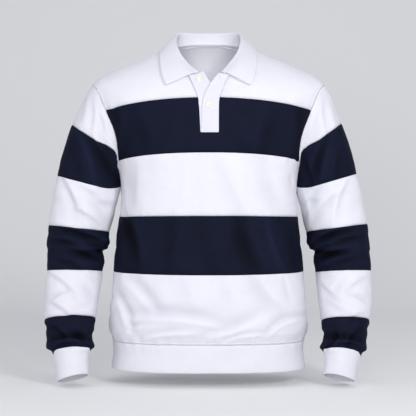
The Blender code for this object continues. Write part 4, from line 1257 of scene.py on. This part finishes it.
def one_stitch(bm, tree, spot, direction, length):
    """A bar of thread lying on a surface."""
    spot, normal = tree.find_nearest(Vector(spot))[:2]
    across = normal.cross(Vector(direction)).normalized()
    along = across.cross(normal)
    turn = Matrix((along, across, along.cross(across))).transposed().to_4x4()
    place = Matrix.Translation(spot) @ turn
    size = Matrix.Diagonal((length / 2, THREAD_RADIUS, THREAD_RADIUS, 1))
    bmesh.ops.create_uvsphere(bm, u_segments=6, v_segments=5, radius=1, matrix=place @ size)


def stitch(bm, tree, line):
    """A row of stitches along a line on a surface."""
    places = walk([tuple(place) for place in line], STITCH_PITCH)
    for before, place, after in zip(places[:-2], places[1:-1], places[2:]):
        one_stitch(bm, tree, place, after - before, STITCH_LENGTH)


def bind(bm, tree, line):
    """A buttonhole: close stitches square to it on both sides."""
    places = walk([tuple(place) for place in on_front(tree, line)], BUTTONHOLE_PITCH)
    for side in (-1, 1):
        aside = np.array([side * BUTTONHOLE_REACH * 0.7, 0, 0])
        for place in places:
            one_stitch(bm, tree, place + aside, (1, 0, 0), 1.4 * BUTTONHOLE_REACH)


def stitched(bm, name, thread):
    """A finished row of stitches as a piece."""
    made = finished_piece(saved(bm, name), name, THREADS[thread])
    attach(made, "root")


rows = bmesh.new()
upper = surface_of(pieces["placket_upper"].data)
for line in PLACKET_ROWS:
    stitch(rows, upper, on_front(upper, line))
for line in BUTTONHOLES:
    bind(rows, upper, line)
stitched(rows, "stitches_placket", "white")


def beside(tree, ring, distance, inwards):
    """A closed line on a surface at a distance from a ring, on the side that a vector points to."""
    found = []
    for before, place, after in zip(np.roll(ring, 6, 0), ring, np.roll(ring, -6, 0)):
        normal = tree.find_nearest(Vector(place))[1]
        across = normal.cross(Vector(after - before)).normalized() * distance
        across = across if across.dot(Vector(inwards)) > 0 else -across
        found.append(tree.find_nearest(Vector(place) + across)[0])
    return found + found[:1]


def armhole_ring(points, side):
    """The points of one armhole's edge in order round it."""
    ring = points[armhole_edge(body, points) & (points[:, 0] * side > 0)]
    middle = ring.mean(axis=0)
    return ring[np.argsort(np.arctan2(ring[:, 2] - middle[2], ring[:, 1] - middle[1]))]


rows = {thread: bmesh.new() for thread in THREADS}
points, _ = read_vectors(body)
tree = surface_of(body)
for side in (-1, 1):
    line = beside(tree, armhole_ring(points, side), ARMHOLE_STITCH, (-side, 0, 0))
    places = walk([tuple(place) for place in line], STITCH_PITCH)
    for place, after in zip(places[:-1], places[1:]):  # the thread changes with the band it crosses
        panel = BODY_PANELS[body.polygons[tree.find_nearest(Vector(place))[2]].material_index]
        thread = "navy" if panel.endswith("navy") else "white"
        one_stitch(rows[thread], tree, place, after - place, STITCH_LENGTH)
for thread, row in rows.items():
    stitched(row, "stitches_armholes_" + thread, thread)

# ------------------------------------------------------------------------------------------------
# Studio: a seamless sweep of pale paper behind and under the shirt. A soft light stands in front, high on
# the right, with weaker ones at the middle and the left, and the walls throw back an even light.

FLOOR = -0.7565  # just under the lower edges of the cuffs
SWEEP_FRONT, SWEEP_BEND, SWEEP_RADIUS, SWEEP_TOP, SWEEP_HALF = -4, 1.6, 0.9, 4, 5


def sweep():
    """Floor and wall in one, with a wide bend between them."""
    bm = bmesh.new()
    outline = [(SWEEP_FRONT, FLOOR), (SWEEP_BEND, FLOOR)]
    for turn in np.linspace(0.1, math.pi / 2, 12):
        rise = SWEEP_RADIUS * (1 - math.cos(turn))
        outline.append((SWEEP_BEND + SWEEP_RADIUS * math.sin(turn), FLOOR + rise))
    outline.append((SWEEP_BEND + SWEEP_RADIUS, SWEEP_TOP))
    verts = [bm.verts.new((-SWEEP_HALF, y, z)) for y, z in outline]
    edges = [bm.edges.new(pair) for pair in zip(verts, verts[1:])]
    made = bmesh.ops.extrude_edge_only(bm, edges=edges)["geom"]
    across = [item for item in made if isinstance(item, bmesh.types.BMVert)]
    bmesh.ops.translate(bm, vec=(2 * SWEEP_HALF, 0, 0), verts=across)
    bmesh.ops.recalc_face_normals(bm, faces=bm.faces)
    mesh = saved(bm, "floor")
    mesh.shade_smooth()
    paper, _, _ = shader("pale_backdrop_paper", Base_Color=colour("#F2F2F3"), Roughness=0.9)
    mesh.materials.append(paper)
    put("floor", mesh)


def soft_light(name, place, aim, size, power):
    """A round soft light at a place, turned to face a point."""
    data = bpy.data.lights.new(name, "AREA")
    data.shape = "DISK"
    data.size = size
    data.energy = power
    lamp = put(name, data)
    lamp.location = place
    lamp.rotation_euler = (Vector(aim) - Vector(place)).to_track_quat("-Z", "Y").to_euler()
    return data


sweep()
soft_light("key", (1.4, -2.3, 0.8), (0, 0, -0.35), 0.7, 25)
soft_light("front", (-0.35, -2.9, -0.05), (0, 0, -0.3), 0.8, 16)
soft_light("side", (-2.4, -1.4, 0.1), (0, 0, -0.4), 1.5, 8)
# light thrown back by the floor and walls, which reaches under the hem and into the neck
soft_light("bounce_above", (0.1, -1.2, 1.8), (0, 0.05, -0.15), 0.5, 9).use_shadow = False
soft_light("bounce_front", (0, -2.8, -0.2), (0, 0, -0.1), 0.8, 5).use_shadow = False
# a small lamp hung in the neck opens up the dark inside of the back yoke
soft_light("neck", (0, -0.065, 0.0), (0, 0.1, -0.065), 0.07, 0.03).spread = math.radians(80)

world = bpy.data.worlds.new("studio")
world.use_nodes = True
walls = world.node_tree.nodes["Background"].inputs
walls["Color"].default_value = colour("#EEF0F6")
walls["Strength"].default_value = 0.54
bpy.context.scene.world = world
bpy.context.scene.view_settings.view_transform = "Standard"

camera_data = bpy.data.cameras.new("camera")
camera_data.lens = 97.8
camera_data.clip_end = 50
camera = put("camera", camera_data)
camera.location = (-0.001, -2.6, -0.36)
camera.rotation_euler = (math.radians(90), 0, 0)
bpy.context.scene.camera = camera
